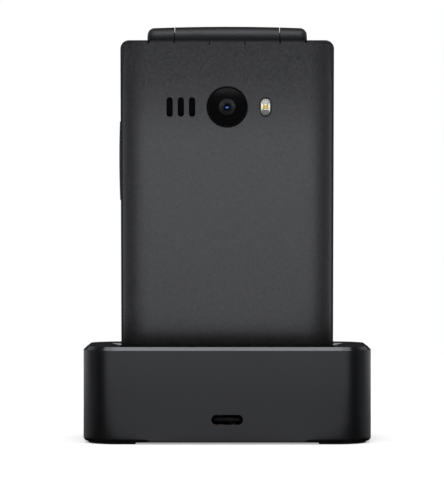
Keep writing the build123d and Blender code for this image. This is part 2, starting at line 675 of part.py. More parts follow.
def with_post_holes(plate, y_low, y_high):
    """A plate with room for the deck's screw posts."""
    for x, z in post_places():
        plate -= rod_y(POST_RADIUS + FIT, y_low - PAST, y_high + PAST, x, z)
    return plate


def make_key_mat():
    """Silicone sheet under the keys."""
    y_range = (-MAT_BACK, MAT_THICK - MAT_BACK)
    sheet = slab(rounded(BOARD_WIDTH, BOARD_LOW, BOARD_HIGH, BOARD_CORNER), *y_range)
    return with_post_holes(sheet, *y_range)


def make_main_board():
    """Main circuit board, with one shield can in the bay beside the camera."""
    y_range = (-BOARD_BACK, BOARD_THICK - BOARD_BACK)
    board = slab(rounded(BOARD_WIDTH, BOARD_LOW, BOARD_HIGH, BOARD_CORNER), *y_range)
    board = with_post_holes(board, *y_range)
    can_low_x = FLASH_X + FLASH_WIDTH / 2 + CAN_GAP
    can = block((can_low_x, BAY_WIDTH / 2 - CAN_MARGIN_X), (-BOARD_BACK - CAN_HEIGHT, -BOARD_BACK),
                (BAY_LOW + CAN_MARGIN_Z, BAY_HIGH - CAN_MARGIN_Z))
    return board + can


def make_battery():
    """Flat battery between the cover and the mid plate."""
    return slab(rounded(BATTERY_WIDTH, BATTERY_LOW, BATTERY_HIGH, BATTERY_CORNER), -BATTERY_BACK,
                BATTERY_DEPTH - BATTERY_BACK)


def make_camera_ring():
    """Trim ring that holds the camera glass in the cover."""
    face = -BASE_BACK - CAMERA_RING_PROUD
    ring = rod_y(CAMERA_RING_RADIUS, face, CAMERA_SEAT - BASE_BACK, 0, CAMERA_Z)
    ring = chamfer(ring.faces().sort_by(Axis.Y)[0].edges(), CAMERA_RING_BEVEL)
    ring -= rod_y(CAMERA_GLASS_RADIUS, face - PAST, glass_back(), 0, CAMERA_Z)
    return ring - rod_y(CAMERA_BARREL_RADIUS + 2 * FIT, face, 0, 0, CAMERA_Z)


def glass_back():
    """Y of the back of the camera glass."""
    return -BASE_BACK + CAMERA_GLASS_SINK + CAMERA_GLASS


def make_camera_glass():
    """Camera window."""
    return rod_y(CAMERA_GLASS_RADIUS, glass_back() - CAMERA_GLASS, glass_back(), 0, CAMERA_Z)


def make_camera_module():
    """Camera: a square body on the board with a round lens barrel in front."""
    half = CAMERA_BODY / 2
    seat = CAMERA_SEAT - BASE_BACK + FIT
    body = block((-half, half), (seat, -BOARD_BACK), (CAMERA_Z - half, CAMERA_Z + half))
    lens = rod_y(CAMERA_BARREL_RADIUS, glass_back() + FIT, seat, 0, CAMERA_Z)
    funnel = Cone(LENS_OPENING, CAMERA_BARREL_RADIUS - LENS_RIM, LENS_FUNNEL,
                  align=(Align.CENTER, Align.CENTER, Align.MAX))
    return body + lens - Pos(0, glass_back() + FIT, CAMERA_Z) * Rot(90, 0, 0) * funnel


def make_flash_lens():
    """Clear cover of the flash."""
    return slab(upright_slot(FLASH_WIDTH - FLASH_RIM, FLASH_HEIGHT - FLASH_RIM, FLASH_X, CAMERA_Z),
                FLASH_SINK - BASE_BACK, FLASH_LENS - BASE_BACK)


def make_flash_led():
    """Flash lamp on its holder, behind the flash lens."""
    front = FLASH_LENS - BASE_BACK + FIT
    half = LED_SIDE / 2
    seat = front + LED_THICK
    chip = block((FLASH_X - half, FLASH_X + half), (front, seat), (CAMERA_Z - half, CAMERA_Z + half))
    holder = slab(rounded(FLASH_WIDTH + 2 * LED_HOLDER_RIM, CAMERA_Z - FLASH_HEIGHT / 2,
                          CAMERA_Z + FLASH_HEIGHT / 2, LED_HOLDER_CORNER, FLASH_X), seat, -BOARD_BACK)
    return chip + holder


def make_speaker_mesh():
    """Dust mesh behind the speaker slots."""
    half_height = SLOT_HEIGHT / 2 + MESH_RIM
    width = SLOT_X[-1] - SLOT_X[0] + SLOT_WIDTH + 2 * MESH_RIM
    face = COVER_WALL + MESH_GAP - BASE_BACK
    return slab(rounded(width, CAMERA_Z - half_height, CAMERA_Z + half_height, MESH_CORNER, SPEAKER_X),
                face, face + MESH_THICKNESS)


def make_loudspeaker():
    """Loudspeaker in its box, between the mesh and the board."""
    front = COVER_WALL + MESH_GAP - BASE_BACK + MESH_THICKNESS + FIT
    case = slab(rounded(SPEAKER_WIDTH, CAMERA_Z - SPEAKER_HEIGHT / 2, CAMERA_Z + SPEAKER_HEIGHT / 2,
                        SPEAKER_CORNER, SPEAKER_X), front, front + SPEAKER_DEPTH)
    half = SPEAKER_STEM / 2
    return case + block((SPEAKER_X - half, SPEAKER_X + half), (front + SPEAKER_DEPTH, -BOARD_BACK),
                        (CAMERA_Z - half, CAMERA_Z + half))


def usb_hole(clearance):
    """Space of the USB-C receptacle in the phone's bottom end."""
    return usb_body(USB_WIDTH + 2 * clearance, USB_HEIGHT + 2 * clearance, -PAST, USB_LENGTH)


def usb_body(width, height, z_low, z_high):
    """A round-ended USB-C section in X and Y, running up from the bottom end."""
    return column(Pos(0, USB_Y) * SlotOverall(width, height), z_low, z_high)


def make_phone_usb_socket():
    """USB-C receptacle in the phone's bottom end: steel shell with its tongue."""
    shell = usb_body(USB_WIDTH, USB_HEIGHT, 0, USB_LENGTH)
    shell -= usb_body(USB_MOUTH_WIDTH, USB_MOUTH_HEIGHT, -PAST, USB_FLOOR)
    half = TONGUE_WIDTH / 2
    return shell + block((-half, half), (USB_Y - TONGUE_THICK / 2, USB_Y + TONGUE_THICK / 2),
                         (USB_FLOOR - TONGUE_LENGTH, USB_FLOOR))


def make_charge_contacts():
    """Two gold pads, sunk in the bottom end, that the dock's pins touch."""
    reach = CONTACT_SIDE / 2
    return together(
        block((x - reach, x + reach), (CONTACT_Y - reach, CONTACT_Y + reach),
              (CONTACT_SINK, CONTACT_SINK + CONTACT_THICK)) for x in both_sides(CONTACT_X))


def make_vibration_motor():
    """Vibration motor: a small can with its half-round weight."""
    nose = MOTOR_X + MOTOR_CAN
    tip = nose + MOTOR_SHAFT
    can = rod_x(MOTOR_RADIUS, MOTOR_X, nose, MOTOR_Y, MOTOR_Z)
    shaft = rod_x(MOTOR_SHAFT_RADIUS, nose, tip, MOTOR_Y, MOTOR_Z)
    weight = rod_x(MOTOR_RADIUS - MOTOR_WEIGHT_STEP, tip - MOTOR_WEIGHT, tip, MOTOR_Y, MOTOR_Z)
    weight -= block((0, tip + PAST), (-BASE_BACK, 0), (MOTOR_Z + MOTOR_WEIGHT_TOP, BATTERY_HIGH))
    return can + shaft + weight


def make_hinge_cam():
    """Spring cam of the hinge: its body sits in one ear and its shaft enters the knuckle."""
    body = rod_x(CAM_RADIUS, EAR_END_WALL - BARREL_HALF, -EAR_INNER, 0, AXIS_Z)
    return body + rod_x(HINGE_SHAFT_RADIUS, -EAR_INNER, HINGE_SHAFT_REACH - KNUCKLE_HALF, 0, AXIS_Z)


def make_hinge_pin():
    """Plain pin of the hinge, held in the other ear."""
    return rod_x(HINGE_SHAFT_RADIUS, KNUCKLE_HALF - HINGE_SHAFT_REACH, BARREL_HALF - EAR_END_WALL, 0, AXIS_Z)


# ---------------------------------------------------------------- lid
def lid_plan(inset):
    """Outline of the lid, pulled in by an inset."""
    return outline(LID_WIDTH - 2 * inset, LID_LOW + inset, LID_HIGH - inset,
                   TOP_CORNER - inset, BOTTOM_CORNER - inset)


def lid_screw_places():
    """Where the bezel is screwed to the lid cover, in X and Z."""
    heights = (LID_SCREW_LOW_Z, LID_HIGH - LID_SCREW_DROP)
    return [(x, z) for x in both_sides(LID_SCREW_X) for z in heights]


def make_lid_cover():
    """Outer shell of the lid, with the recess and the opening of the outer display."""
    half = LID_WIDTH / 2
    bend_z = LID_HIGH - LID_TOP_BEND
    radius = bend_radius(LID_TOP_BEND, LID_TOP_FALL)
    wall = LID_WALL
    outer = casing(half, LID_LOW, LID_HIGH, LID_FRONT, LID_SEAM, (LID_EDGE_RUN, LID_EDGE_DROP),
                   LID_END_RUN, (bend_z, radius), (TOP_CORNER, BOTTOM_CORNER))
    inner = casing(half - wall, LID_LOW + wall, LID_HIGH - wall, LID_FRONT - wall, LID_SEAM,
                   (LID_EDGE_RUN - wall, LID_EDGE_DROP - wall), LID_END_RUN - wall,
                   (bend_z, radius - wall), (TOP_CORNER - wall, BOTTOM_CORNER - wall))
    shell = outer - inner
    window = rounded(WINDOW_WIDTH, WINDOW_LOW, WINDOW_HIGH, WINDOW_CORNER)
    shell -= slab(window, LID_FRONT - WINDOW_THICK, LID_FRONT + PAST)
    low, high = outer_view()
    shell -= slab(rounded(OUTER_VIEW_WIDTH, low, high, OUTER_VIEW_CORNER), LID_SEAM, LID_FRONT + PAST)
    for x, z in lid_screw_places():
        shell += rod_y(LID_BOSS_RADIUS, LID_SEAM, LID_FRONT - wall, x, z)
        shell -= rod_y(SCREW_RADIUS, LID_SEAM, LID_FRONT - wall, x, z)
    shell -= barrel_room(-EAR_INNER, EAR_INNER, HINGE_RUNNING_FIT)
    return shell - ear_room()


def ear_room():
    """The space of both ears in the lid."""
    end = BARREL_HALF + BARREL_CLEARANCE
    inner = KNUCKLE_HALF
    return barrel_room(-end, -inner, BARREL_CLEARANCE) + barrel_room(inner, end, BARREL_CLEARANCE)


def outer_view():
    """Low and high Z of what the outer display shows."""
    return WINDOW_LOW + WINDOW_BORDER, WINDOW_HIGH - WINDOW_BORDER


def main_view():
    """Low and high Z of what the main display shows."""
    return GLASS_LOW + VIEW_END, GLASS_HIGH - VIEW_END


def make_lid_bezel():
    """Inner plate of the lid with the display opening, the head block and the knuckle."""
    plate = slab(lid_plan(0), HALF_GAP, LID_SEAM)
    head_top = LID_HIGH - LID_WALL - FIT
    inner_front = LID_FRONT - LID_WALL - LID_TOP_FALL - 2 * FIT
    head = LID_WIDTH / 2 - LID_HEAD_INSET
    plate += block((-head, head), (LID_SEAM, inner_front), (head_top - LID_HEAD, head_top))
    plate -= ear_room()
    plate += barrel(-KNUCKLE_HALF, KNUCKLE_HALF)
    glass_back_y = HALF_GAP + GLASS_SINK + GLASS_THICK
    glass_room = rounded(GLASS_WIDTH + 2 * FIT, GLASS_LOW - FIT, GLASS_HIGH + FIT, GLASS_CORNER)
    plate -= slab(glass_room, -PAST, glass_back_y)
    low, high = main_view()
    plate -= slab(rounded(VIEW_WIDTH, low, high, VIEW_CORNER), -PAST, LID_SEAM)
    earpiece_slot = Pos(0, EARPIECE_Z) * SlotOverall(EARPIECE_SLOT_WIDTH, EARPIECE_SLOT_HEIGHT)
    plate -= slab(earpiece_slot, -PAST, LID_SEAM)
    for x, z in lid_screw_places():
        plate -= rod_y(SCREW_RADIUS, 0, LID_SEAM, x, z)
        plate -= rod_y(SCREW_HEAD_RADIUS + FIT, 0, HALF_GAP + SCREW_HEAD + FIT, x, z)
    for x, z in bumper_places():
        plate -= rod_y(BUMPER_RADIUS, 0, HALF_GAP + BUMPER_SINK, x, z)
    running = HINGE_SHAFT_RADIUS + HINGE_RUNNING_FIT
    reach = HINGE_SHAFT_REACH + FIT
    for side in (-1, 1):
        bore = sorted((side * (KNUCKLE_HALF + PAST), side * (KNUCKLE_HALF - reach)))
        plate -= rod_x(running, *bore, 0, AXIS_Z)
    return plate


def bumper_places():
    """Where the lid's rubber bumpers sit, in X and Z."""
    low = LID_LOW + BOTTOM_CORNER - BUMPER_RADIUS
    high = HEAD_LOW - 2 * BUMPER_RADIUS
    return [(x, z) for x in both_sides(BUMPER_X) for z in (low, high)]


def make_lid_bumpers():
    """Four rubber bumpers that keep the halves apart."""
    return together(rod_y(BUMPER_RADIUS, HALF_GAP - BUMPER_PROUD, HALF_GAP + BUMPER_SINK, x, z)
                    for x, z in bumper_places())


def make_lid_screws():
    """Four screws from the bezel into the lid cover."""
    top = HALF_GAP + FIT
    return together(rod_y(SCREW_HEAD_RADIUS, top, top + SCREW_HEAD, x, z)
                    + rod_y(SCREW_RADIUS, top, top + LID_SCREW_LENGTH, x, z)
                    for x, z in lid_screw_places())


def make_main_glass():
    """Cover glass of the main display."""
    front = HALF_GAP + GLASS_SINK
    return slab(rounded(GLASS_WIDTH, GLASS_LOW, GLASS_HIGH, GLASS_CORNER), front, front + GLASS_THICK)


def make_main_lcd():
    """Main display panel."""
    low, high = main_view()
    margin = LCD_MARGIN
    return slab(rounded(VIEW_WIDTH + 2 * margin, low - margin, high + margin, LCD_CORNER), LID_SEAM,
                LID_SEAM + LCD_THICK)


def make_outer_window():
    """Window of the outer display, flush in the lid cover."""
    plan = rounded(WINDOW_WIDTH - 2 * FIT, WINDOW_LOW + FIT, WINDOW_HIGH - FIT, WINDOW_CORNER - FIT)
    return slab(plan, LID_FRONT - WINDOW_THICK, LID_FRONT)


def make_outer_lcd():
    """Outer display panel."""
    low, high = outer_view()
    margin = OUTER_LCD_MARGIN
    back = LID_FRONT - LID_WALL
    return slab(rounded(OUTER_VIEW_WIDTH + 2 * margin, low - margin, high + margin, LCD_CORNER),
                back - OUTER_LCD_THICK, back)


def make_earpiece():
    """Earpiece behind its slot in the bezel."""
    half = EARPIECE_HEIGHT / 2
    return slab(rounded(EARPIECE_WIDTH, EARPIECE_Z - half, EARPIECE_Z + half, EARPIECE_CORNER), LID_SEAM,
                LID_SEAM + EARPIECE_DEPTH)


def make_lid_magnet():
    """Magnet that tells the base half that the lid is closed."""
    half = MAGNET_SIDE / 2
    return block((MAGNET_X - MAGNET_WIDTH / 2, MAGNET_X + MAGNET_WIDTH / 2),
                 (LID_SEAM, LID_SEAM + MAGNET_SIDE), (MAGNET_Z - half, MAGNET_Z + half))


# ---------------------------------------------------------------- dock
def dock_plan(inset):
    """Outline of the dock from above, pulled in by an inset."""
    return RectangleRounded(DOCK_WIDTH - 2 * inset, DOCK_DEPTH - 2 * inset, DOCK_CORNER - inset)


def pocket(grow):
    """The leaning pocket that the phone stands in, grown by a wall."""
    half = PHONE_WIDTH / 2 + POCKET_SIDE_GAP + grow
    wide = half + POCKET_FLARE
    y_low = -BASE_BACK - POCKET_BACK_GAP - grow
    y_high = LID_FRONT + POCKET_FRONT_GAP + grow
    plan = make_face(Polyline((-half, y_low), (half, y_low), (half, -HALF_GAP), (wide, y_high),
                              (-wide, y_high), (-half, -HALF_GAP), close=True))
    return PHONE_SEAT * column(plan, -FLOOR_GAP - grow, 2 * DOCK_HEIGHT)


def lead_in(grow):
    """The slope that leads the phone's back into the pocket, grown by a wall."""
    half = PHONE_WIDTH / 2 + POCKET_SIDE_GAP + grow
    back = BASE_BACK + POCKET_BACK_GAP
    rim_z = (DOCK_HEIGHT - SEAT_Z + back * sin(radians(LEAN))) / cos(radians(LEAN))
    y_wall = -back - grow
    z_low = rim_z - LEAD_IN_DEPTH - grow
    slope = make_face(Polyline((y_wall, z_low), (y_wall, z_low + 2 * LEAD_IN_DEPTH),
                               (y_wall - 2 * LEAD_IN, z_low + 2 * LEAD_IN_DEPTH), close=True))
    return PHONE_SEAT * prism(slope, -half, half)


def mouth_edges(shell):
    """The edges where the pocket opens in the dock's top face, but for its back edge."""
    rim = shell.faces().filter_by(Axis.Z).sort_by(Axis.Z)[-1].edges()
    reach_x = PHONE_WIDTH / 2 + POCKET_SIDE_GAP + POCKET_FLARE
    reach_y = DOCK_DEPTH / 2 - LEAD_IN
    return [edge for edge in rim if abs(edge.center().X) < reach_x and abs(edge.center().Y) < reach_y]


def front_channel(grow):
    """The cut through the front that lets the lid swing open in the dock."""
    half = LID_WIDTH / 2 + CHANNEL_GAP + grow
    return PHONE_SEAT * block((-half, half), (0, DOCK_DEPTH), (-FLOOR_GAP - grow, 2 * DOCK_HEIGHT))


def boss_places():
    """Where the base plate is screwed to the dock's shell, in X and Y."""
    return [(x, y) for x in both_sides(DOCK_BOSS_X) for y in both_sides(DOCK_BOSS_Y)]


def dock_usb(width, height, y_low, y_high):
    """A round-ended USB-C section in X and Z, running in from the dock's back."""
    return slab(Pos(0, DOCK_USB_Z) * SlotOverall(width, height), y_low, y_high)


def make_dock_shell():
    """Outer shell of the dock with its pocket, front channel, screw bosses and USB-C hole."""
    outer = column(dock_plan(0), FOOT_HEIGHT, DOCK_HEIGHT)
    outer = chamfer(outer.faces().sort_by(Axis.Z)[-1].edges(), DOCK_CHAMFER)
    outer = fillet(outer.faces().sort_by(Axis.Z)[0].edges(), DOCK_BOTTOM_ROUND)
    hollow = column(dock_plan(DOCK_WALL), FOOT_HEIGHT - PAST, DOCK_HEIGHT - DOCK_WALL)
    hollow -= pocket(POCKET_WALL) + front_channel(POCKET_WALL) + lead_in(POCKET_WALL)
    for x, y in boss_places():
        hollow -= rod_z(DOCK_BOSS_RADIUS, FOOT_HEIGHT + BASE_PLATE, DOCK_HEIGHT, x, y)
    shell = outer - hollow - (pocket(0) + front_channel(0) + lead_in(0))
    shell = chamfer(mouth_edges(shell), MOUTH_CHAMFER)
    for x, y in boss_places():
        shell -= rod_z(DOCK_SCREW_RADIUS, FOOT_HEIGHT + BASE_PLATE, DOCK_BOSS_TOP, x, y)
    back = -DOCK_DEPTH / 2
    shell -= dock_usb(USB_MOUTH_WIDTH, USB_MOUTH_HEIGHT + FIT, back - PAST, back + DOCK_WALL)
    shell -= dock_usb(USB_WIDTH, USB_HEIGHT, back + DOCK_USB_LIP, back + DOCK_WALL)
    for x in both_sides(CONTACT_X):
        shell -= PHONE_SEAT * rod_z(PIN_RADIUS + PIN_FIT, -FLOOR_GAP - POCKET_WALL - PAST, PAST, x, CONTACT_Y)
    return shell


def foot_plan(inset):
    """The four corner feet from above, cut back to an inset from the dock's outline."""
    plan = dock_plan(inset)
    plan -= Rectangle(DOCK_WIDTH - 2 * FOOT_INSET - 2 * FOOT_LENGTH, DOCK_DEPTH)
    return plan - Rectangle(DOCK_WIDTH, DOCK_DEPTH - 2 * FOOT_INSET - 2 * FOOT_DEPTH)


def foot_tenon():
    """The part of the feet that is sunk in the base plate."""
    return column(foot_plan(DOCK_WALL + 2 * FIT + FOOT_TENON_RIM), 0, FOOT_HEIGHT + FOOT_SINK)


def make_dock_base():
    """Base plate of the dock, with recesses for the feet and counterbores for the screws."""
    plate = column(dock_plan(DOCK_WALL + FIT), FOOT_HEIGHT, FOOT_HEIGHT + BASE_PLATE)
    plate -= foot_tenon()
    for x, y in boss_places():
        plate -= rod_z(DOCK_SCREW_RADIUS, 0, DOCK_HEIGHT, x, y)
        plate -= rod_z(DOCK_SCREW_HEAD_RADIUS, 0, DOCK_SCREW_Z, x, y)
    return plate


def make_dock_feet():
    """Four rubber feet that follow the dock's corners."""
    return column(foot_plan(FOOT_INSET), 0, FOOT_HEIGHT) + foot_tenon()


def make_dock_screws():
    """Four screws from below, under the feet."""
    seat = DOCK_SCREW_Z
    return together(rod_z(DOCK_SCREW_RADIUS, seat, seat + DOCK_SCREW_LENGTH, x, y)
                    + rod_z(DOCK_SCREW_HEAD_RADIUS, seat - DOCK_SCREW_HEAD, seat, x, y)
                    for x, y in boss_places())


def make_dock_board():
    """Circuit board under the receptacle."""
    back = DOCK_WALL + FIT - DOCK_DEPTH / 2
    top = DOCK_USB_Z - USB_HEIGHT / 2
    half = DOCK_BOARD_WIDTH / 2
    return block((-half, half), (back, back + DOCK_BOARD_DEPTH), (top - DOCK_BOARD_THICK, top))


def make_dock_usb_shell():
    """Steel shell of the dock's USB-C receptacle, closed at its inner end."""
    mouth = DOCK_USB_LIP - DOCK_DEPTH / 2
    shell = dock_usb(USB_WIDTH, USB_HEIGHT, mouth, mouth + USB_LENGTH)
    return shell - dock_usb(USB_MOUTH_WIDTH, USB_MOUTH_HEIGHT, mouth - PAST, mouth + USB_FLOOR)


def make_dock_usb_tongue():
    """Tongue of the dock's USB-C receptacle."""
    floor = DOCK_USB_LIP - DOCK_DEPTH / 2 + USB_FLOOR
    half, thick = TONGUE_WIDTH / 2, TONGUE_THICK / 2
    return block((-half, half), (floor - TONGUE_LENGTH, floor), (DOCK_USB_Z - thick, DOCK_USB_Z + thick))


def pin_levels():
    """Z of the pin's tip, of the top and bottom of its collar, and of its block's top and floor."""
    tip = CONTACT_SINK - PIN_TIP_GAP
    collar_top = tip + PIN_COLLAR - PIN_LENGTH
    collar_low = collar_top - PIN_COLLAR
    return tip, collar_top, collar_low, -FLOOR_GAP - POCKET_WALL, collar_low - PIN_TRAVEL - FIT


def make_dock_pin(x):
    """Spring contact pin with its collar."""
    tip, collar_top, collar_low, _, _ = pin_levels()
    stem = rod_z(PIN_RADIUS, collar_low, tip, x, CONTACT_Y)
    stem = fillet(stem.faces().sort_by(Axis.Z)[-1].edges(), PIN_TIP_ROUND)
    return stem + rod_z(PIN_COLLAR_RADIUS, collar_low, collar_top, x, CONTACT_Y)


def make_dock_pin_block():
    """Moulded block under the pocket's floor that guides the pins."""
    _, collar_top, _, top, floor = pin_levels()
    half_x = CONTACT_X + PIN_BLOCK_MARGIN
    half_y = PIN_BLOCK_DEPTH / 2
    shape = block((-half_x, half_x), (CONTACT_Y - half_y, CONTACT_Y + half_y), (floor - PIN_BLOCK_FLOOR, top))
    for x in both_sides(CONTACT_X):
        shape -= rod_z(PIN_RADIUS + PIN_FIT, floor, top + PAST, x, CONTACT_Y)
        shape -= rod_z(PIN_COLLAR_RADIUS + PIN_FIT, floor, collar_top + PIN_TRAVEL, x, CONTACT_Y)
    return shape


def make_dock_weight():
    """Steel weight that keeps the dock on the table."""
    half = DOCK_WIDTH / 2 - WEIGHT_SIDE
    low = FOOT_HEIGHT + BASE_PLATE
    return block((-half, half), (WEIGHT_Y - WEIGHT_DEPTH / 2, WEIGHT_Y + WEIGHT_DEPTH / 2),
                 (low, low + WEIGHT_THICK))


# ---------------------------------------------------------------- all pieces
def phone_pieces():
    """Every piece of the phone, in the phone's own frame."""
    pieces = {
        "rear_cover": make_rear_cover(),
        "base_frame": make_base_frame(),
        "keypad_deck": make_keypad_deck(),
        "key_mat": make_key_mat(),
        "main_board": make_main_board(),
        "battery": make_battery(),
        "camera_ring": make_camera_ring(),
        "camera_glass": make_camera_glass(),
        "camera_module": make_camera_module(),
        "flash_lens": make_flash_lens(),
        "flash_led": make_flash_led(),
        "speaker_mesh": make_speaker_mesh(),
        "loudspeaker": make_loudspeaker(),
        "volume_rocker": make_volume_rocker(),
        "phone_usb_socket": make_phone_usb_socket(),
        "charge_contacts": make_charge_contacts(),
        "vibration_motor": make_vibration_motor(),
        "hinge_cam": make_hinge_cam(),
        "hinge_pin": make_hinge_pin(),
        "base_screws": make_base_screws(),
        "nav_ring": make_nav_ring(),
        "ok_key": make_ok_key(),
        "lid_cover": make_lid_cover(),
        "lid_bezel": make_lid_bezel(),
        "main_glass": make_main_glass(),
        "main_lcd": make_main_lcd(),
        "outer_window": make_outer_window(),
        "outer_lcd": make_outer_lcd(),
        "earpiece": make_earpiece(),
        "lid_magnet": make_lid_magnet(),
        "lid_bumpers": make_lid_bumpers(),
        "lid_screws": make_lid_screws(),
        "dock_pin_left": make_dock_pin(-CONTACT_X),
        "dock_pin_right": make_dock_pin(CONTACT_X),
        "dock_pin_block": make_dock_pin_block(),
    }
    for name, *place in key_places():
        pieces[name] = make_key(*place)
    return pieces


def dock_pieces():
    """Every piece of the dock that isn't built on the phone's lean, in the row frame."""
    return {
        "dock_shell": make_dock_shell(),
        "dock_base": make_dock_base(),
        "dock_feet": make_dock_feet(),
        "dock_screws": make_dock_screws(),
        "dock_board": make_dock_board(),
        "dock_usb_shell": make_dock_usb_shell(),
        "dock_usb_tongue": make_dock_usb_tongue(),
        "dock_weight": make_dock_weight(),
    }


def main():
    """Write one STEP file for each piece."""
    os.makedirs("parts", exist_ok=True)
    pieces = dock_pieces()
    for name, piece in phone_pieces().items():
        pieces[name] = PHONE_SEAT * piece
    for name, piece in pieces.items():
        export_step(piece, f"parts/{name}.step")
    print(len(pieces), "pieces written")


main()
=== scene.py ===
"""Finishes, small parts, studio and camera for a flip phone standing in its charging dock.

Lengths of the phone's small parts are written in millimetres in the phone's own frame, where Z
runs from its bottom end to its hinge and Y = 0 is the plane in which its two halves meet.  The
class PhoneSeat carries them to where the phone stands in the dock, in metres.
"""
from __future__ import annotations

import json
import logging
import math
from dataclasses import dataclass
from enum import Enum
from functools import cached_property
from typing import Any, ClassVar, NamedTuple, Sequence

import bmesh
import bpy
from mathutils import Matrix, Vector

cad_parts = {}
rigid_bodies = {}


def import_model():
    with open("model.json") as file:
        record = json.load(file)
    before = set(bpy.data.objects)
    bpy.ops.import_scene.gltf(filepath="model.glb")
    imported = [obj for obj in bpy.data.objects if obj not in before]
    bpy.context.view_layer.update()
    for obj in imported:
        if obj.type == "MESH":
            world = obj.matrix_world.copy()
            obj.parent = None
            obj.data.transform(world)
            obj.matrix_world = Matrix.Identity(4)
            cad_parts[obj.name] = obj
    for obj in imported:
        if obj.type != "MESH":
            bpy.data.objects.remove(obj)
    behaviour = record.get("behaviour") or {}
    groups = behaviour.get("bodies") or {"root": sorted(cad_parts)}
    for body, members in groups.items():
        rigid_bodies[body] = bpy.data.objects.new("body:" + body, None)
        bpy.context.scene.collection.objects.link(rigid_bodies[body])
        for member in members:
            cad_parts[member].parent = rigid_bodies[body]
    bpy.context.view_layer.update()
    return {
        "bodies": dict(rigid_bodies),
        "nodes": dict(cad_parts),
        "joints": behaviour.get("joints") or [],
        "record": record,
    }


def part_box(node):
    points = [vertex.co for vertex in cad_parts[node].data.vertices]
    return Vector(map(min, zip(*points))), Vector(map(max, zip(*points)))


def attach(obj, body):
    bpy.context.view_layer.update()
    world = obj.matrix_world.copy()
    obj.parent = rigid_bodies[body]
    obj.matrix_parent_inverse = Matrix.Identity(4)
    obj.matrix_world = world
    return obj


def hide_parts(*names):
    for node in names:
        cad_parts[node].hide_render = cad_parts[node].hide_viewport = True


METRE = 1.0
MM = 0.001
GRAIN_HEIGHT = 0.02 * MM  # of a plastic's grain at its full strength
LINE_HEIGHT = 0.01 * MM  # of a metal's drawn lines at their full strength
TOUCHING = 1e-5  # points of a piece that lie nearer than this many millimetres become one
Colour = tuple[float, float, float]
Point = tuple[float, float, float]
Spot = tuple[float, float]
Frame = dict[str, Any]
LOG = logging.getLogger("flip_phone")


# ---------------------------------------------------------------- shader nodes
class SocketKind(Enum):
    """What a socket of a shader group carries."""

    VALUE = "NodeSocketFloat"
    VECTOR = "NodeSocketVector"


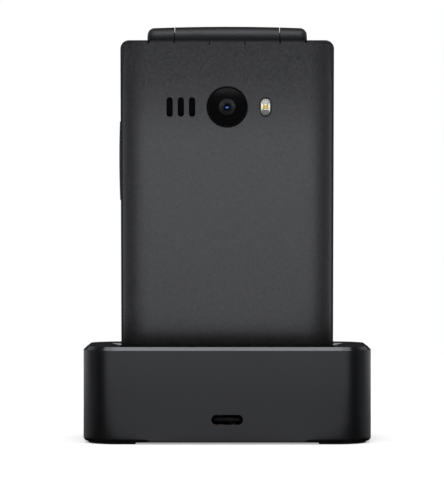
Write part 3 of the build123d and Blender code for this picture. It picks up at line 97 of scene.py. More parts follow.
@dataclass
class Sketch:
    """Places and joins the nodes of one shader tree."""

    tree: bpy.types.NodeTree

    def add(self, kind: str, **settings: Any) -> bpy.types.Node:
        """Add a node.

        Args:
            kind: Blender's name of the node type.
            settings: properties to set on it.

        Returns:
            The new node.
        """
        node = self.tree.nodes.new(kind)
        for name, value in settings.items():
            setattr(node, name, value)
        return node

    def feed(self, socket: bpy.types.NodeSocket, value: Any) -> None:
        """Set an input socket to a constant, or join it to another socket.

        Args:
            socket: the input.
            value: a constant or an output socket.
        """
        if isinstance(value, bpy.types.NodeSocket):
            self.tree.links.new(value, socket)
        else:
            socket.default_value = value

    def math(self, operation: str, *values: Any) -> bpy.types.NodeSocket:
        """Add a Math node.

        Args:
            operation: Blender's name of the operation.
            values: constants or sockets, in order.

        Returns:
            Its output.
        """
        node = self.add("ShaderNodeMath", operation=operation)
        for socket, value in zip(node.inputs, values):
            self.feed(socket, value)
        return node.outputs["Value"]

    def vector_math(self, operation: str, *values: Any) -> bpy.types.Node:
        """Add a Vector Math node.

        Args:
            operation: Blender's name of the operation.
            values: constants or sockets, in order.

        Returns:
            The node, with its result on the output Vector or Value.
        """
        node = self.add("ShaderNodeVectorMath", operation=operation)
        for socket, value in zip(node.inputs, values):
            self.feed(socket, value)
        return node

    def place(self) -> bpy.types.NodeSocket:
        """The place on the object, in metres in the row frame."""
        return self.add("ShaderNodeTexCoord").outputs["Object"]

    def split(self, vector: bpy.types.NodeSocket) -> bpy.types.NodeOutputs:
        """The X, Y and Z of a vector, by their names."""
        node = self.add("ShaderNodeSeparateXYZ")
        self.feed(node.inputs["Vector"], vector)
        return node.outputs

    def group(self, tree: bpy.types.NodeTree, **values: Any) -> bpy.types.Node:
        """Place a shader group.

        Args:
            tree: the group.
            values: a constant or a socket for each named input.

        Returns:
            The group's node.
        """
        node = self.add("ShaderNodeGroup", node_tree=tree)
        for name, value in values.items():
            self.feed(node.inputs[name], value)
        return node

    def bump(self, height: Any, depth: float, strength: float = 1.0,
             normal: bpy.types.NodeSocket | None = None) -> bpy.types.NodeSocket:
        """Bend a normal by a height.

        Args:
            height: the height.
            depth: how many metres a height of 1 stands for.
            strength: how much of the bend is kept.
            normal: the normal to bend, or None for the face's own.

        Returns:
            The bent normal.
        """
        node = self.add("ShaderNodeBump")
        node.inputs["Distance"].default_value = depth
        node.inputs["Strength"].default_value = strength
        self.feed(node.inputs["Height"], height)
        if normal:
            self.feed(node.inputs["Normal"], normal)
        return node.outputs["Normal"]

    def ramp(self, value: Any, low: Any, high: Any) -> bpy.types.NodeSocket:
        """Turn a value into a smooth step from 0 at low to 1 at high.

        Args:
            value: the value to test.
            low: where the step starts.
            high: where it ends.

        Returns:
            A mask from 0 to 1.
        """
        node = self.add("ShaderNodeMapRange", interpolation_type="SMOOTHSTEP")
        for name, given in (("Value", value), ("From Min", low), ("From Max", high)):
            self.feed(node.inputs[name], given)
        return node.outputs["Result"]

    def noise(self, size_mm: Any, detail: float, roughness: float) -> bpy.types.NodeSocket:
        """Add noise that is fixed to the object.

        Args:
            size_mm: the size of its features in millimetres, as a constant or a socket.
            detail: how many finer layers it has.
            roughness: how strong the finer layers are.

        Returns:
            Its value, about 0.5 on average.
        """
        node = self.add("ShaderNodeTexNoise")
        self.feed(node.inputs["Vector"], self.place())
        self.feed(node.inputs["Scale"], self.math("DIVIDE", 1 / MM, size_mm))
        self.feed(node.inputs["Detail"], detail)
        self.feed(node.inputs["Roughness"], roughness)
        return node.outputs["Fac"]

    def mix(self, mask: Any, first: Any, second: Any) -> bpy.types.NodeSocket:
        """Mix two colours by a mask.

        Args:
            mask: 0 gives the first colour and 1 the second.
            first: a colour or a socket.
            second: a colour or a socket.

        Returns:
            The mixed colour.
        """
        node = self.add("ShaderNodeMix", data_type="RGBA")
        colours = [socket for socket in node.inputs if socket.type == "RGBA"]
        self.feed(node.inputs["Factor"], mask)
        for socket, given in zip(colours, (first, second)):
            self.feed(socket, (*given, 1.0) if isinstance(given, tuple) else given)
        return next(socket for socket in node.outputs if socket.type == "RGBA")

    def lightened(self, colour: Colour, factor: Any) -> bpy.types.NodeSocket:
        """Multiply a colour by a value.

        Args:
            colour: the colour.
            factor: a socket that carries the value.

        Returns:
            The colour times the value.
        """
        node = self.add("ShaderNodeVectorMath", operation="SCALE")
        node.inputs["Vector"].default_value = colour
        self.feed(node.inputs["Scale"], factor)
        return node.outputs["Vector"]


class EffectGroups:
    """The shader groups that several finishes share, each built on its first use."""

    @staticmethod
    def _open(name: str, inputs: dict[str, float | Point], outputs: dict[str, SocketKind]
              ) -> tuple[Sketch, bpy.types.NodeOutputs, bpy.types.NodeInputs]:
        """Start a group.

        Args:
            name: the group's name.
            inputs: the default of each input, where a point makes it a vector.
            outputs: the kind of each output.

        Returns:
            The sketch of its tree, what is given to the group and what it has to be fed.
        """
        sketch = Sketch(bpy.data.node_groups.new(name, "ShaderNodeTree"))
        for label, default in inputs.items():
            kind = SocketKind.VECTOR if isinstance(default, tuple) else SocketKind.VALUE
            socket = sketch.tree.interface.new_socket(label, in_out="INPUT", socket_type=kind.value)
            socket.default_value = default
        for label, kind in outputs.items():
            sketch.tree.interface.new_socket(label, in_out="OUTPUT", socket_type=kind.value)
        return sketch, sketch.add("NodeGroupInput").outputs, sketch.add("NodeGroupOutput").inputs

    @cached_property
    def grain(self) -> bpy.types.NodeTree:
        """Fine grain of a moulded or painted face: a height, and a tone that varies about 1.

        Returns:
            The group, with inputs Size in millimetres and Speckle.
        """
        coarse = 2.6
        fine_share = 0.75
        sketch, given, result = self._open(
            "fine_grain", {"Size": 0.3, "Speckle": 1.0},
            {"Height": SocketKind.VALUE, "Tone": SocketKind.VALUE})
        size, speckle = given["Size"], given["Speckle"]
        fine = sketch.noise(size, detail=2.0, roughness=0.65)
        broad = sketch.noise(sketch.math("MULTIPLY", size, coarse), detail=1.0, roughness=0.5)
        height = sketch.math("ADD", sketch.math("MULTIPLY", fine, fine_share),
                             sketch.math("MULTIPLY", broad, 1.0 - fine_share))
        step = sketch.math("SUBTRACT", height, 0.5)
        tone = sketch.math("MULTIPLY_ADD", step, speckle, 1.0)
        sketch.feed(result["Height"], height)
        sketch.feed(result["Tone"], tone)
        return sketch.tree

    @cached_property
    def handling(self) -> bpy.types.NodeTree:
        """Soft patches where hands and cloths have changed the gloss.

        Returns:
            The group, with inputs Base, Amount and Size in millimetres, and output Roughness.
        """
        sketch, given, result = self._open(
            "handling_patches", {"Base": 0.5, "Amount": 0.1, "Size": 18.0},
            {"Roughness": SocketKind.VALUE})
        patch = sketch.noise(given["Size"], detail=3.0, roughness=0.55)
        step = sketch.math("SUBTRACT", patch, 0.5)
        value = sketch.math("MULTIPLY_ADD", step, given["Amount"], given["Base"])
        sketch.feed(result["Roughness"], value)
        return sketch.tree

    @cached_property
    def edges(self) -> bpy.types.NodeTree:
        """Tiny rounding of moulded edges, and a patchy mask along them where the colour is painted
        lighter: partly wear, partly a painted sheen.

        Returns:
            The group, with input Radius in millimetres and outputs Normal and WearAndSheen, the mask of
            the painted wear and sheen.
        """
        edge_patch_mm = 1.4
        edge_patch_limits = (0.35, 0.7)
        turn_limits = (0.01, 0.25)
        sketch, given, result = self._open(
            "soft_edges", {"Radius": 0.1}, {"Normal": SocketKind.VECTOR, "WearAndSheen": SocketKind.VALUE})
        bevel = sketch.add("ShaderNodeBevel", samples=4)
        sketch.feed(bevel.inputs["Radius"], sketch.math("MULTIPLY", given["Radius"], MM))
        flat = sketch.add("ShaderNodeNewGeometry").outputs["Normal"]
        likeness = sketch.vector_math("DOT_PRODUCT", bevel.outputs["Normal"], flat)
        turned_away = sketch.math("SUBTRACT", 1.0, likeness.outputs["Value"])
        broken = sketch.ramp(sketch.noise(edge_patch_mm, detail=2.0, roughness=0.6), *edge_patch_limits)
        # mask of the edges' painted lightening, partly wear and partly a painted sheen, broken into
        # patches by noise
        wear_and_sheen_mask = sketch.math("MULTIPLY", sketch.ramp(turned_away, *turn_limits), broken)
        sketch.feed(result["Normal"], bevel.outputs["Normal"])
        sketch.feed(result["WearAndSheen"], wear_and_sheen_mask)
        return sketch.tree

    @cached_property
    def round_zone(self) -> bpy.types.NodeTree:
        """Mask of what lies within a radius of a line along X, such as the hinge barrel.

        Returns:
            The group, with inputs Y, Z and Radius in metres, and output Mask.
        """
        sketch, given, result = self._open(
            "round_zone", {"Y": 0.0, "Z": 0.0, "Radius": 0.0}, {"Mask": SocketKind.VALUE})
        place = sketch.split(sketch.place())
        squares = []
        for name in ("Y", "Z"):
            step = sketch.math("SUBTRACT", place[name], given[name])
            squares.append(sketch.math("MULTIPLY", step, step))
        distance = sketch.math("SQRT", sketch.math("ADD", *squares))
        inside = sketch.math("LESS_THAN", distance, given["Radius"])
        sketch.feed(result["Mask"], inside)
        return sketch.tree

    @cached_property
    def slope_zone(self) -> bpy.types.NodeTree:
        """Mask of faces that slope upwards between two limits, such as a bevel round a top edge.

        Returns:
            The group, with inputs Low and High for the normal's Z, and output Mask.
        """
        sketch, given, result = self._open(
            "slope_zone", {"Low": 0.5, "High": 0.9}, {"Mask": SocketKind.VALUE})
        up = sketch.split(sketch.add("ShaderNodeTexCoord").outputs["Normal"])["Z"]
        above = sketch.math("GREATER_THAN", up, given["Low"])
        below = sketch.math("LESS_THAN", up, given["High"])
        sketch.feed(result["Mask"], sketch.math("MULTIPLY", above, below))
        return sketch.tree

    @cached_property
    def crown(self) -> bpy.types.NodeTree:
        """Height of a window whose face leans, and bends above its middle.

        Returns:
            The group, with inputs Place in metres from the middle, Lean and Bend as slopes and Reach
            in metres, and outputs Height and Distance, both in metres.
        """
        sketch, given, result = self._open(
            "window_crown", {"Place": (0.0, 0.0, 0.0), "Lean": 0.0, "Bend": 0.0, "Reach": 0.005},
            {"Height": SocketKind.VALUE, "Distance": SocketKind.VALUE})
        rise = sketch.split(given["Place"])["Z"]
        above = sketch.math("MAXIMUM", rise, 0.0)
        share = sketch.math("DIVIDE", sketch.math("MULTIPLY", above, above), given["Reach"])
        bend = sketch.math("MULTIPLY", share, given["Bend"])
        lean = sketch.math("MULTIPLY", rise, given["Lean"])
        fall = sketch.math("ADD", lean, bend)
        length = sketch.vector_math("LENGTH", given["Place"])
        sketch.feed(result["Height"], sketch.math("SUBTRACT", 0.0, fall))
        sketch.feed(result["Distance"], length.outputs["Value"])
        return sketch.tree

    @cached_property
    def bow(self) -> bpy.types.NodeTree:
        """Height of a broad face that falls away beyond a place, ever more steeply.

        Returns:
            The group, with inputs Along, Start and End in metres and Slope, which the fall reaches at
            End, and output Height in metres.
        """
        sketch, given, result = self._open(
            "bowed_face", {"Along": 0.0, "Start": 0.0, "End": 0.0, "Slope": 0.0},
            {"Height": SocketKind.VALUE})
        start, end = given["Start"], given["End"]
        share = sketch.math("DIVIDE", sketch.math("SUBTRACT", given["Along"], start),
                            sketch.math("SUBTRACT", end, start))
        beyond = sketch.math("MAXIMUM", share, 0.0)
        half_run = sketch.math("MULTIPLY", sketch.math("SUBTRACT", start, end), 0.5)
        fall = sketch.math("MULTIPLY", sketch.math("ABSOLUTE", half_run), given["Slope"])
        height = sketch.math("MULTIPLY", sketch.math("MULTIPLY", beyond, beyond), fall)
        sketch.feed(result["Height"], sketch.math("SUBTRACT", 0.0, height))
        return sketch.tree

    @cached_property
    def brushing(self) -> bpy.types.NodeTree:
        """Fine drawn lines of a rolled or turned metal.

        Returns:
            The group, with input Size in millimetres and output Height.
        """
        stretch = 24.0
        sketch, given, result = self._open(
            "drawn_lines", {"Size": 0.1}, {"Height": SocketKind.VALUE})
        mapping = sketch.add("ShaderNodeMapping")
        mapping.inputs["Scale"].default_value = (1.0, stretch, stretch)
        sketch.feed(mapping.inputs["Vector"], sketch.place())
        scale = sketch.math("DIVIDE", 1 / (MM * stretch), given["Size"])
        noise = sketch.add("ShaderNodeTexNoise")
        sketch.feed(noise.inputs["Vector"], mapping.outputs["Vector"])
        sketch.feed(noise.inputs["Scale"], scale)
        sketch.feed(result["Height"], noise.outputs["Fac"])
        return sketch.tree

    @cached_property
    def weave(self) -> bpy.types.NodeTree:
        """Holes of a fine dust mesh.

        Returns:
            The group, with input Pitch in millimetres and output Thread, 1 on the threads.
        """
        thread_edge = (0.1, 0.6)
        sketch, given, result = self._open(
            "mesh_threads", {"Pitch": 0.3}, {"Thread": SocketKind.VALUE})
        place = sketch.split(sketch.place())
        turn = sketch.math("DIVIDE", math.tau / MM, given["Pitch"])
        waves = [sketch.math("COSINE", sketch.math("MULTIPLY", place[name], turn))
                 for name in ("X", "Z")]
        crest = sketch.math("MAXIMUM", *waves)
        sketch.feed(result["Thread"], sketch.ramp(crest, *thread_edge))
        return sketch.tree


# ---------------------------------------------------------------- finishes
@dataclass(frozen=True)
class Finish:
    """A finish that can be put on pieces."""

    name: str

    def build(self, effects: EffectGroups) -> bpy.types.Material:
        """Make the material.

        Args:
            effects: the shared shader groups.

        Returns:
            The material.
        """
        material = bpy.data.materials.new(self.name)
        material.use_nodes = True
        sketch = Sketch(material.node_tree)
        shader = material.node_tree.nodes["Principled BSDF"]
        self.draw(sketch, shader, effects)
        return material

    def draw(self, sketch: Sketch, shader: bpy.types.Node, effects: EffectGroups) -> None:
        """Place the nodes that feed the shader.

        Args:
            sketch: the material's tree.
            shader: its Principled BSDF.
            effects: the shared shader groups.
        """
        raise NotImplementedError


@dataclass(frozen=True)
class MouldedPlastic(Finish):
    """Moulded or painted plastic with a fine grain and slightly rounded edges, whose colour is lighter
    along the edges: partly wear, partly a painted sheen.

    Sizes are in millimetres.
    """

    colour: Colour = (0.02, 0.02, 0.02)
    roughness: float = 0.5
    specular: float = 0.5
    grain_size: float = 0.3
    grain_depth: float = 0.1
    speckle: float = 0.4
    handled: float = 0.08
    edge_radius: float = 0.1
    edge_tone: float = 1.5

    def draw(self, sketch: Sketch, shader: bpy.types.Node, effects: EffectGroups) -> None:
        """Place the nodes.

        Args:
            sketch: the material's tree.
            shader: its Principled BSDF.
            effects: the shared shader groups.
        """
        grain = sketch.group(effects.grain, Size=self.grain_size, Speckle=self.speckle)
        edges = sketch.group(effects.edges, Radius=self.edge_radius)
        patches = sketch.group(effects.handling, Base=self.roughness, Amount=self.handled)
        bump = sketch.bump(grain.outputs["Height"], GRAIN_HEIGHT, self.grain_depth,
                           edges.outputs["Normal"])
        plain = sketch.lightened(self.colour, grain.outputs["Tone"])
        # edges painted lighter by edge_tone: partly wear, partly a painted sheen
        wear_and_sheen = tuple(value * self.edge_tone for value in self.colour)
        sketch.feed(shader.inputs["Base Color"], sketch.mix(edges.outputs["WearAndSheen"], plain, wear_and_sheen))
        sketch.feed(shader.inputs["Roughness"], patches.outputs["Roughness"])
        sketch.feed(shader.inputs["Normal"], bump)
        shader.inputs["Specular IOR Level"].default_value = self.specular


class Bow(NamedTuple):
    """Where a face starts to fall away and where it ends, in metres, and its slope at the end."""

    start: float
    end: float
    slope: float


@dataclass(frozen=True)
class BowedPlastic(MouldedPlastic):
    """Painted plastic whose broad upright face bows gently towards its top, its foot and its sides.

    top and foot are heights in the row frame, and side is a distance from the middle.
    """

    top: Bow = Bow(0.08, 0.11, 0.1)
    foot: Bow = Bow(0.04, 0.02, 0.1)
    side: Bow = Bow(0.02, 0.028, 0.1)

    def draw(self, sketch: Sketch, shader: bpy.types.Node, effects: EffectGroups) -> None:
        """Place the nodes.

        Args:
            sketch: the material's tree.
            shader: its Principled BSDF.
            effects: the shared shader groups.
        """
        super().draw(sketch, shader, effects)
        place = sketch.split(sketch.place())
        out = sketch.math("ABSOLUTE", place["X"])
        height: Any = 0.0
        for along, bow in ((place["Z"], self.top), (place["Z"], self.foot), (out, self.side)):
            fall = sketch.group(effects.bow, Along=along, Start=bow.start, End=bow.end,
                                Slope=bow.slope)
            height = sketch.math("ADD", height, fall.outputs["Height"])
        grain = shader.inputs["Normal"].links[0].from_node
        edges = grain.inputs["Normal"].links[0].from_socket
        sketch.feed(grain.inputs["Normal"], sketch.bump(height, METRE, normal=edges))


@dataclass(frozen=True)
class HingePlastic(MouldedPlastic):
    """Moulded plastic with a smoother, satin hinge barrel.

    axis_y and axis_z are the hinge's axis in metres, and barrel its radius in millimetres.
    """

    axis_y: float = 0.0
    axis_z: float = 0.0
    barrel: float = 4.7
    barrel_colour: Colour = (0.01, 0.01, 0.01)
    barrel_roughness: float = 0.3
    barrel_coat: float = 0.6

    def draw(self, sketch: Sketch, shader: bpy.types.Node, effects: EffectGroups) -> None:
        """Place the nodes.

        Args:
            sketch: the material's tree.
            shader: its Principled BSDF.
            effects: the shared shader groups.
        """
        super().draw(sketch, shader, effects)
        zone = sketch.group(effects.round_zone, Y=self.axis_y, Z=self.axis_z, Radius=self.barrel * MM)
        mask = zone.outputs["Mask"]
        colour = shader.inputs["Base Color"].links[0].from_socket
        sketch.feed(shader.inputs["Base Color"], sketch.mix(mask, colour, self.barrel_colour))
        patches = shader.inputs["Roughness"].links[0].from_node
        step = sketch.math("MULTIPLY", mask, self.barrel_roughness - self.roughness)
        sketch.feed(patches.inputs["Base"], sketch.math("ADD", step, self.roughness))
        sketch.feed(shader.inputs["Coat Weight"], sketch.math("MULTIPLY", mask, self.barrel_coat))
        shader.inputs["Coat Roughness"].default_value = self.barrel_roughness


@dataclass(frozen=True)
class BevelledPlastic(MouldedPlastic):
    """Moulded plastic with a polished bevel round its top edge.

    bevel_low and bevel_high are the limits of the upward part of the bevel's normal.
    """

    bevel_roughness: float = 0.12
    bevel_low: float = 0.6
    bevel_high: float = 0.8

    def draw(self, sketch: Sketch, shader: bpy.types.Node, effects: EffectGroups) -> None:
        """Place the nodes.

        Args:
            sketch: the material's tree.
            shader: its Principled BSDF.
            effects: the shared shader groups.
        """
        super().draw(sketch, shader, effects)
        zone = sketch.group(effects.slope_zone, Low=self.bevel_low, High=self.bevel_high)
        patches = shader.inputs["Roughness"].links[0].from_node
        step = sketch.math("MULTIPLY", zone.outputs["Mask"], self.bevel_roughness - self.roughness)
        sketch.feed(patches.inputs["Base"], sketch.math("ADD", step, self.roughness))


@dataclass(frozen=True)
class DrawnMetal(Finish):
    """Rolled or turned metal with fine lines."""

    colour: Colour = (0.5, 0.5, 0.5)
    roughness: float = 0.3
    line_size: float = 0.08
    line_depth: float = 0.1
    edge_radius: float = 0.04

    def draw(self, sketch: Sketch, shader: bpy.types.Node, effects: EffectGroups) -> None:
        """Place the nodes.

        Args:
            sketch: the material's tree.
            shader: its Principled BSDF.
            effects: the shared shader groups.
        """
        lines = sketch.group(effects.brushing, Size=self.line_size)
        edges = sketch.group(effects.edges, Radius=self.edge_radius)
        patches = sketch.group(effects.handling, Base=self.roughness, Amount=0.12, Size=4.0)
        bump = sketch.bump(lines.outputs["Height"], LINE_HEIGHT, self.line_depth,
                           edges.outputs["Normal"])
        tone = sketch.math("MULTIPLY_ADD", lines.outputs["Height"], 0.2, 0.9)
        sketch.feed(shader.inputs["Base Color"], sketch.lightened(self.colour, tone))
        sketch.feed(shader.inputs["Roughness"], patches.outputs["Roughness"])
        sketch.feed(shader.inputs["Normal"], bump)
        shader.inputs["Metallic"].default_value = 1.0


@dataclass(frozen=True)
class ThinClear(Finish):
    """Thin clear sheet: cover is how much of it hides what lies behind."""

    colour: Colour = (0.6, 0.6, 0.6)
    cover: float = 0.08
    roughness: float = 0.08

    def draw(self, sketch: Sketch, shader: bpy.types.Node, effects: EffectGroups) -> None:
        """Place the nodes.

        Args:
            sketch: the material's tree.
            shader: its Principled BSDF.
            effects: the shared shader groups.
        """
        patches = sketch.group(effects.handling, Base=self.roughness, Amount=0.03, Size=3.0)
        sketch.feed(shader.inputs["Roughness"], patches.outputs["Roughness"])
        shader.inputs["Base Color"].default_value = (*self.colour, 1.0)
        shader.inputs["Alpha"].default_value = self.cover


@dataclass(frozen=True)
class InkedWindow(Finish):
    """Coated window, inked black behind but for a round opening in its middle.

    middle is the window's middle in the row frame in metres, opening the radius that is left clear
    and rim the window's own radius, both in millimetres.  lean is how steeply its whole face falls
    back towards the top, and bend what is added to that halfway from the middle to the upper rim.
    """

    middle: Point = (0.0, 0.0, 0.0)
    opening: float = 2.3
    rim: float = 5.0
    ink_edge: float = 0.05
    lean: float = 0.05
    bend: float = -0.045
    ink: Colour = (0.0027, 0.0027, 0.0027)
    roughness: float = 0.12
    specular: float = 0.08
    clear_cover: float = 0.04

    def draw(self, sketch: Sketch, shader: bpy.types.Node, effects: EffectGroups) -> None:
        """Place the nodes.

        Args:
            sketch: the material's tree.
            shader: its Principled BSDF.
            effects: the shared shader groups.
        """
        shift = sketch.vector_math("SUBTRACT", sketch.place(), self.middle)
        crown = sketch.group(effects.crown, Place=shift.outputs["Vector"], Lean=self.lean,
                             Bend=self.bend, Reach=self.rim * MM)
        opening, edge = self.opening * MM, self.ink_edge * MM
        inked = sketch.ramp(crown.outputs["Distance"], opening - edge, opening + edge)
        cover = sketch.math("MULTIPLY_ADD", inked, 1.0 - self.clear_cover, self.clear_cover)
        patches = sketch.group(effects.handling, Base=self.roughness, Amount=0.04, Size=3.0)
        sketch.feed(shader.inputs["Roughness"], patches.outputs["Roughness"])
        sketch.feed(shader.inputs["Alpha"], cover)
        sketch.feed(shader.inputs["Normal"], sketch.bump(crown.outputs["Height"], METRE))
        shader.inputs["Base Color"].default_value = (*self.ink, 1.0)
        shader.inputs["Specular IOR Level"].default_value = self.specular


@dataclass(frozen=True)
class ScreenGlass(Finish):
    """Glass over a display that is off: black, with the display just to be seen behind it.

    middle is the display's middle in the row frame, up the direction of its height, and half its
    half width and half height, all in metres.  soft is half the width of its blurred edge in
    millimetres.
    """

    middle: Point = (0.0, 0.0, 0.0)
    up: Point = (0.0, 0.0, 1.0)
    half: tuple[float, float] = (0.01, 0.01)
    soft: float = 0.12
    border: Colour = (0.003, 0.003, 0.0035)
    display: Colour = (0.009, 0.0095, 0.011)
    roughness: float = 0.06

    def draw(self, sketch: Sketch, shader: bpy.types.Node, effects: EffectGroups) -> None:
        """Place the nodes.

        Args:
            sketch: the material's tree.
            shader: its Principled BSDF.
            effects: the shared shader groups.
        """
        soft = self.soft * MM
        across = (1.0, 0.0, 0.0)
        shift = sketch.vector_math("SUBTRACT", sketch.place(), self.middle)
        masks = []
        for direction, reach in zip((across, self.up), self.half):
            along = sketch.vector_math("DOT_PRODUCT", shift.outputs["Vector"], direction)
            distance = sketch.math("ABSOLUTE", along.outputs["Value"])
            masks.append(sketch.ramp(distance, reach + soft, reach - soft))
        inside = sketch.math("MULTIPLY", *masks)
        sketch.feed(shader.inputs["Base Color"], sketch.mix(inside, self.border, self.display))
        patches = sketch.group(effects.handling, Base=self.roughness, Amount=0.06, Size=9.0)
        sketch.feed(shader.inputs["Roughness"], patches.outputs["Roughness"])


@dataclass(frozen=True)
class ThreadMesh(Finish):
    """Fine woven dust mesh.  Pitch and height of its threads are in millimetres."""

    colour: Colour = (0.003, 0.003, 0.003)
    pitch: float = 0.28
    thread_height: float = 0.05
    hole_tone: float = 0.1
    roughness: float = 0.6
    specular: float = 0.05

    def draw(self, sketch: Sketch, shader: bpy.types.Node, effects: EffectGroups) -> None:
        """Place the nodes.

        Args:
            sketch: the material's tree.
            shader: its Principled BSDF.
            effects: the shared shader groups.
        """
        thread = sketch.group(effects.weave, Pitch=self.pitch).outputs["Thread"]
        hole = tuple(value * self.hole_tone for value in self.colour)
        sketch.feed(shader.inputs["Base Color"], sketch.mix(thread, hole, self.colour))
        sketch.feed(shader.inputs["Normal"], sketch.bump(thread, self.thread_height * MM))
        shader.inputs["Roughness"].default_value = self.roughness
        shader.inputs["Specular IOR Level"].default_value = self.specular


@dataclass(frozen=True)
class SpeckledMatter(Finish):
    """Printed or coated matter in two tones, such as a circuit board.  patch is in millimetres."""

    first: Colour = (0.02, 0.1, 0.04)
    second: Colour = (0.03, 0.16, 0.06)
    patch: float = 2.0
    roughness: float = 0.4
    grain_depth: float = 0.3

    def draw(self, sketch: Sketch, shader: bpy.types.Node, effects: EffectGroups) -> None:
        """Place the nodes.

        Args:
            sketch: the material's tree.
            shader: its Principled BSDF.
            effects: the shared shader groups.
        """
        patch_edge = (0.42, 0.58)
        mask = sketch.ramp(sketch.noise(self.patch, detail=3.0, roughness=0.6), *patch_edge)
        grain = sketch.group(effects.grain, Size=0.25, Speckle=0.5)
        bump = sketch.bump(grain.outputs["Height"], GRAIN_HEIGHT, self.grain_depth)
        sketch.feed(shader.inputs["Base Color"], sketch.mix(mask, self.first, self.second))
        sketch.feed(shader.inputs["Normal"], bump)
        shader.inputs["Roughness"].default_value = self.roughness


@dataclass(frozen=True)
class CoatedLens(Finish):
    """Coated lens: a coloured mirror under a clear coat, dark where the room is dark."""

    colour: Colour = (0.01, 0.07, 0.34)
    rim: Colour = (0.02, 0.06, 0.34)
    roughness: float = 0.22
    coat_roughness: float = 0.08

    def draw(self, sketch: Sketch, shader: bpy.types.Node, effects: EffectGroups) -> None:
        """Place the nodes.

        Args:
            sketch: the material's tree.
            shader: its Principled BSDF.
            effects: the shared shader groups.
        """
        facing = sketch.add("ShaderNodeLayerWeight").outputs["Facing"]
        sketch.feed(shader.inputs["Base Color"], sketch.mix(facing, self.colour, self.rim))
        patches = sketch.group(effects.handling, Base=self.roughness, Amount=0.02, Size=0.6)
        sketch.feed(shader.inputs["Roughness"], patches.outputs["Roughness"])
        shader.inputs["Metallic"].default_value = 1.0
        shader.inputs["Coat Weight"].default_value = 1.0
        shader.inputs["Coat Roughness"].default_value = self.coat_roughness


# ---------------------------------------------------------------- meshes
@dataclass(frozen=True)
class PhoneSeat:
    """How the phone's own frame lies in the row frame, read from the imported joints."""

    matrix: Matrix
    axis_z: float

    @classmethod
    def from_frame(cls, frame: Frame, axis_z: float) -> PhoneSeat:
        """Work the seat out from the direction of the lift and the place of the hinge.

        Args:
            frame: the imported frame.
            axis_z: height of the hinge's axis in the phone's frame, in millimetres.

        Returns:
            The seat.
        """
        joints = {joint["name"]: joint for joint in frame["joints"]}
        up = Vector(joints["phone_lift"]["axis"]).normalized()
        hinge = Vector(joints["lid_hinge"]["pos_m"])
        lean = math.atan2(-up.y, up.z)
        turn = Matrix.Rotation(lean, 4, "X")
        origin = hinge - up * (axis_z * MM)
        return cls(Matrix.Translation(origin) @ turn @ Matrix.Scale(MM, 4), axis_z)

    def point(self, x: float, y: float, z: float) -> Vector:
        """Carry a point of the phone's frame, in millimetres, to the row frame."""
        return self.matrix @ Vector((x, y, z))

    def direction(self, x: float, y: float, z: float) -> Vector:
        """Carry a direction of the phone's frame to the row frame."""
        return (self.matrix.to_3x3() @ Vector((x, y, z))).normalized()


@dataclass(frozen=True)
class Workshop:
    """Turns meshes into named pieces that ride on a body."""

    materials: dict[str, bpy.types.Material]

    def piece(self, name: str, mesh: bpy.types.Mesh, body: str, finish: str, slot: str,
              smooth_deg: float = 35.0, replaces: Sequence[str] = ()) -> bpy.types.Object:
        """Make a piece.

        Args:
            name: the piece's name.
            mesh: its mesh, in the row frame in metres.
            body: the body it rides on.
            finish: the name of its finish.
            slot: the record's material slot that it belongs to; it is not used.
            smooth_deg: edges sharper than this stay sharp.
            replaces: CAD nodes that it stands for.

        Returns:
            The piece.
        """
        mesh.name = name
        mesh.shade_smooth()
        mesh.set_sharp_from_angle(angle=math.radians(smooth_deg))
        mesh.materials.append(self.materials[finish])
        piece = stand(name, mesh)
        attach(piece, body)
        if replaces:
            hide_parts(*replaces)
        LOG.info("piece %s on %s, %d faces", name, body, len(mesh.polygons))
        return piece

    def dress(self, frame: Frame, node: str, finish: str) -> None:
        """Give a carried-over node its finish.

        Args:
            frame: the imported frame.
            node: the node's name.
            finish: the name of its finish.
        """
        for slot in frame["nodes"][node].material_slots:
            slot.material = self.materials[finish]
        LOG.info("node %s has finish %s", node, finish)


def stand(name: str, data: bpy.types.ID) -> bpy.types.Object:
    """Put an object into the scene.

    Args:
        name: its name.
        data: its mesh, lamp, camera or text.

    Returns:
        The object.
    """
    thing = bpy.data.objects.new(name, data)
    bpy.context.scene.collection.objects.link(thing)
    return thing


def as_mesh(shape: bmesh.types.BMesh, name: str) -> bpy.types.Mesh:
    """Turn a bmesh into a mesh.

    Args:
        shape: the bmesh, which is freed.
        name: the mesh's name.

    Returns:
        The mesh.
    """
    mesh = bpy.data.meshes.new(name)
    shape.to_mesh(mesh)
    shape.free()
    return mesh


def finished_mesh(shape: bmesh.types.BMesh, matrix: Matrix) -> bpy.types.Mesh:
    """Turn a bmesh into a mesh with its points merged and its normals outward.

    Args:
        shape: the bmesh, which is freed.
        matrix: carries its points to the row frame.

    Returns:
        The mesh.
    """
    bmesh.ops.remove_doubles(shape, verts=shape.verts, dist=TOUCHING)
    bmesh.ops.recalc_face_normals(shape, faces=shape.faces)
    mesh = as_mesh(shape, "shape")
    mesh.transform(matrix)
    return mesh


def bridge(shape: bmesh.types.BMesh, rings: Sequence[Sequence[bmesh.types.BMVert]],
           closed: bool = True) -> None:
    """Join each ring of points to the next with a band of faces.

    Args:
        shape: the bmesh that takes the faces.
        rings: the rings, each with the same number of points.
        closed: whether each ring's last point joins its first.
    """
    for first, second in zip(rings, rings[1:]):
        for index in range(len(first) if closed else len(first) - 1):
            after = (index + 1) % len(first)
            shape.faces.new((first[index], first[after], second[after], second[index]))


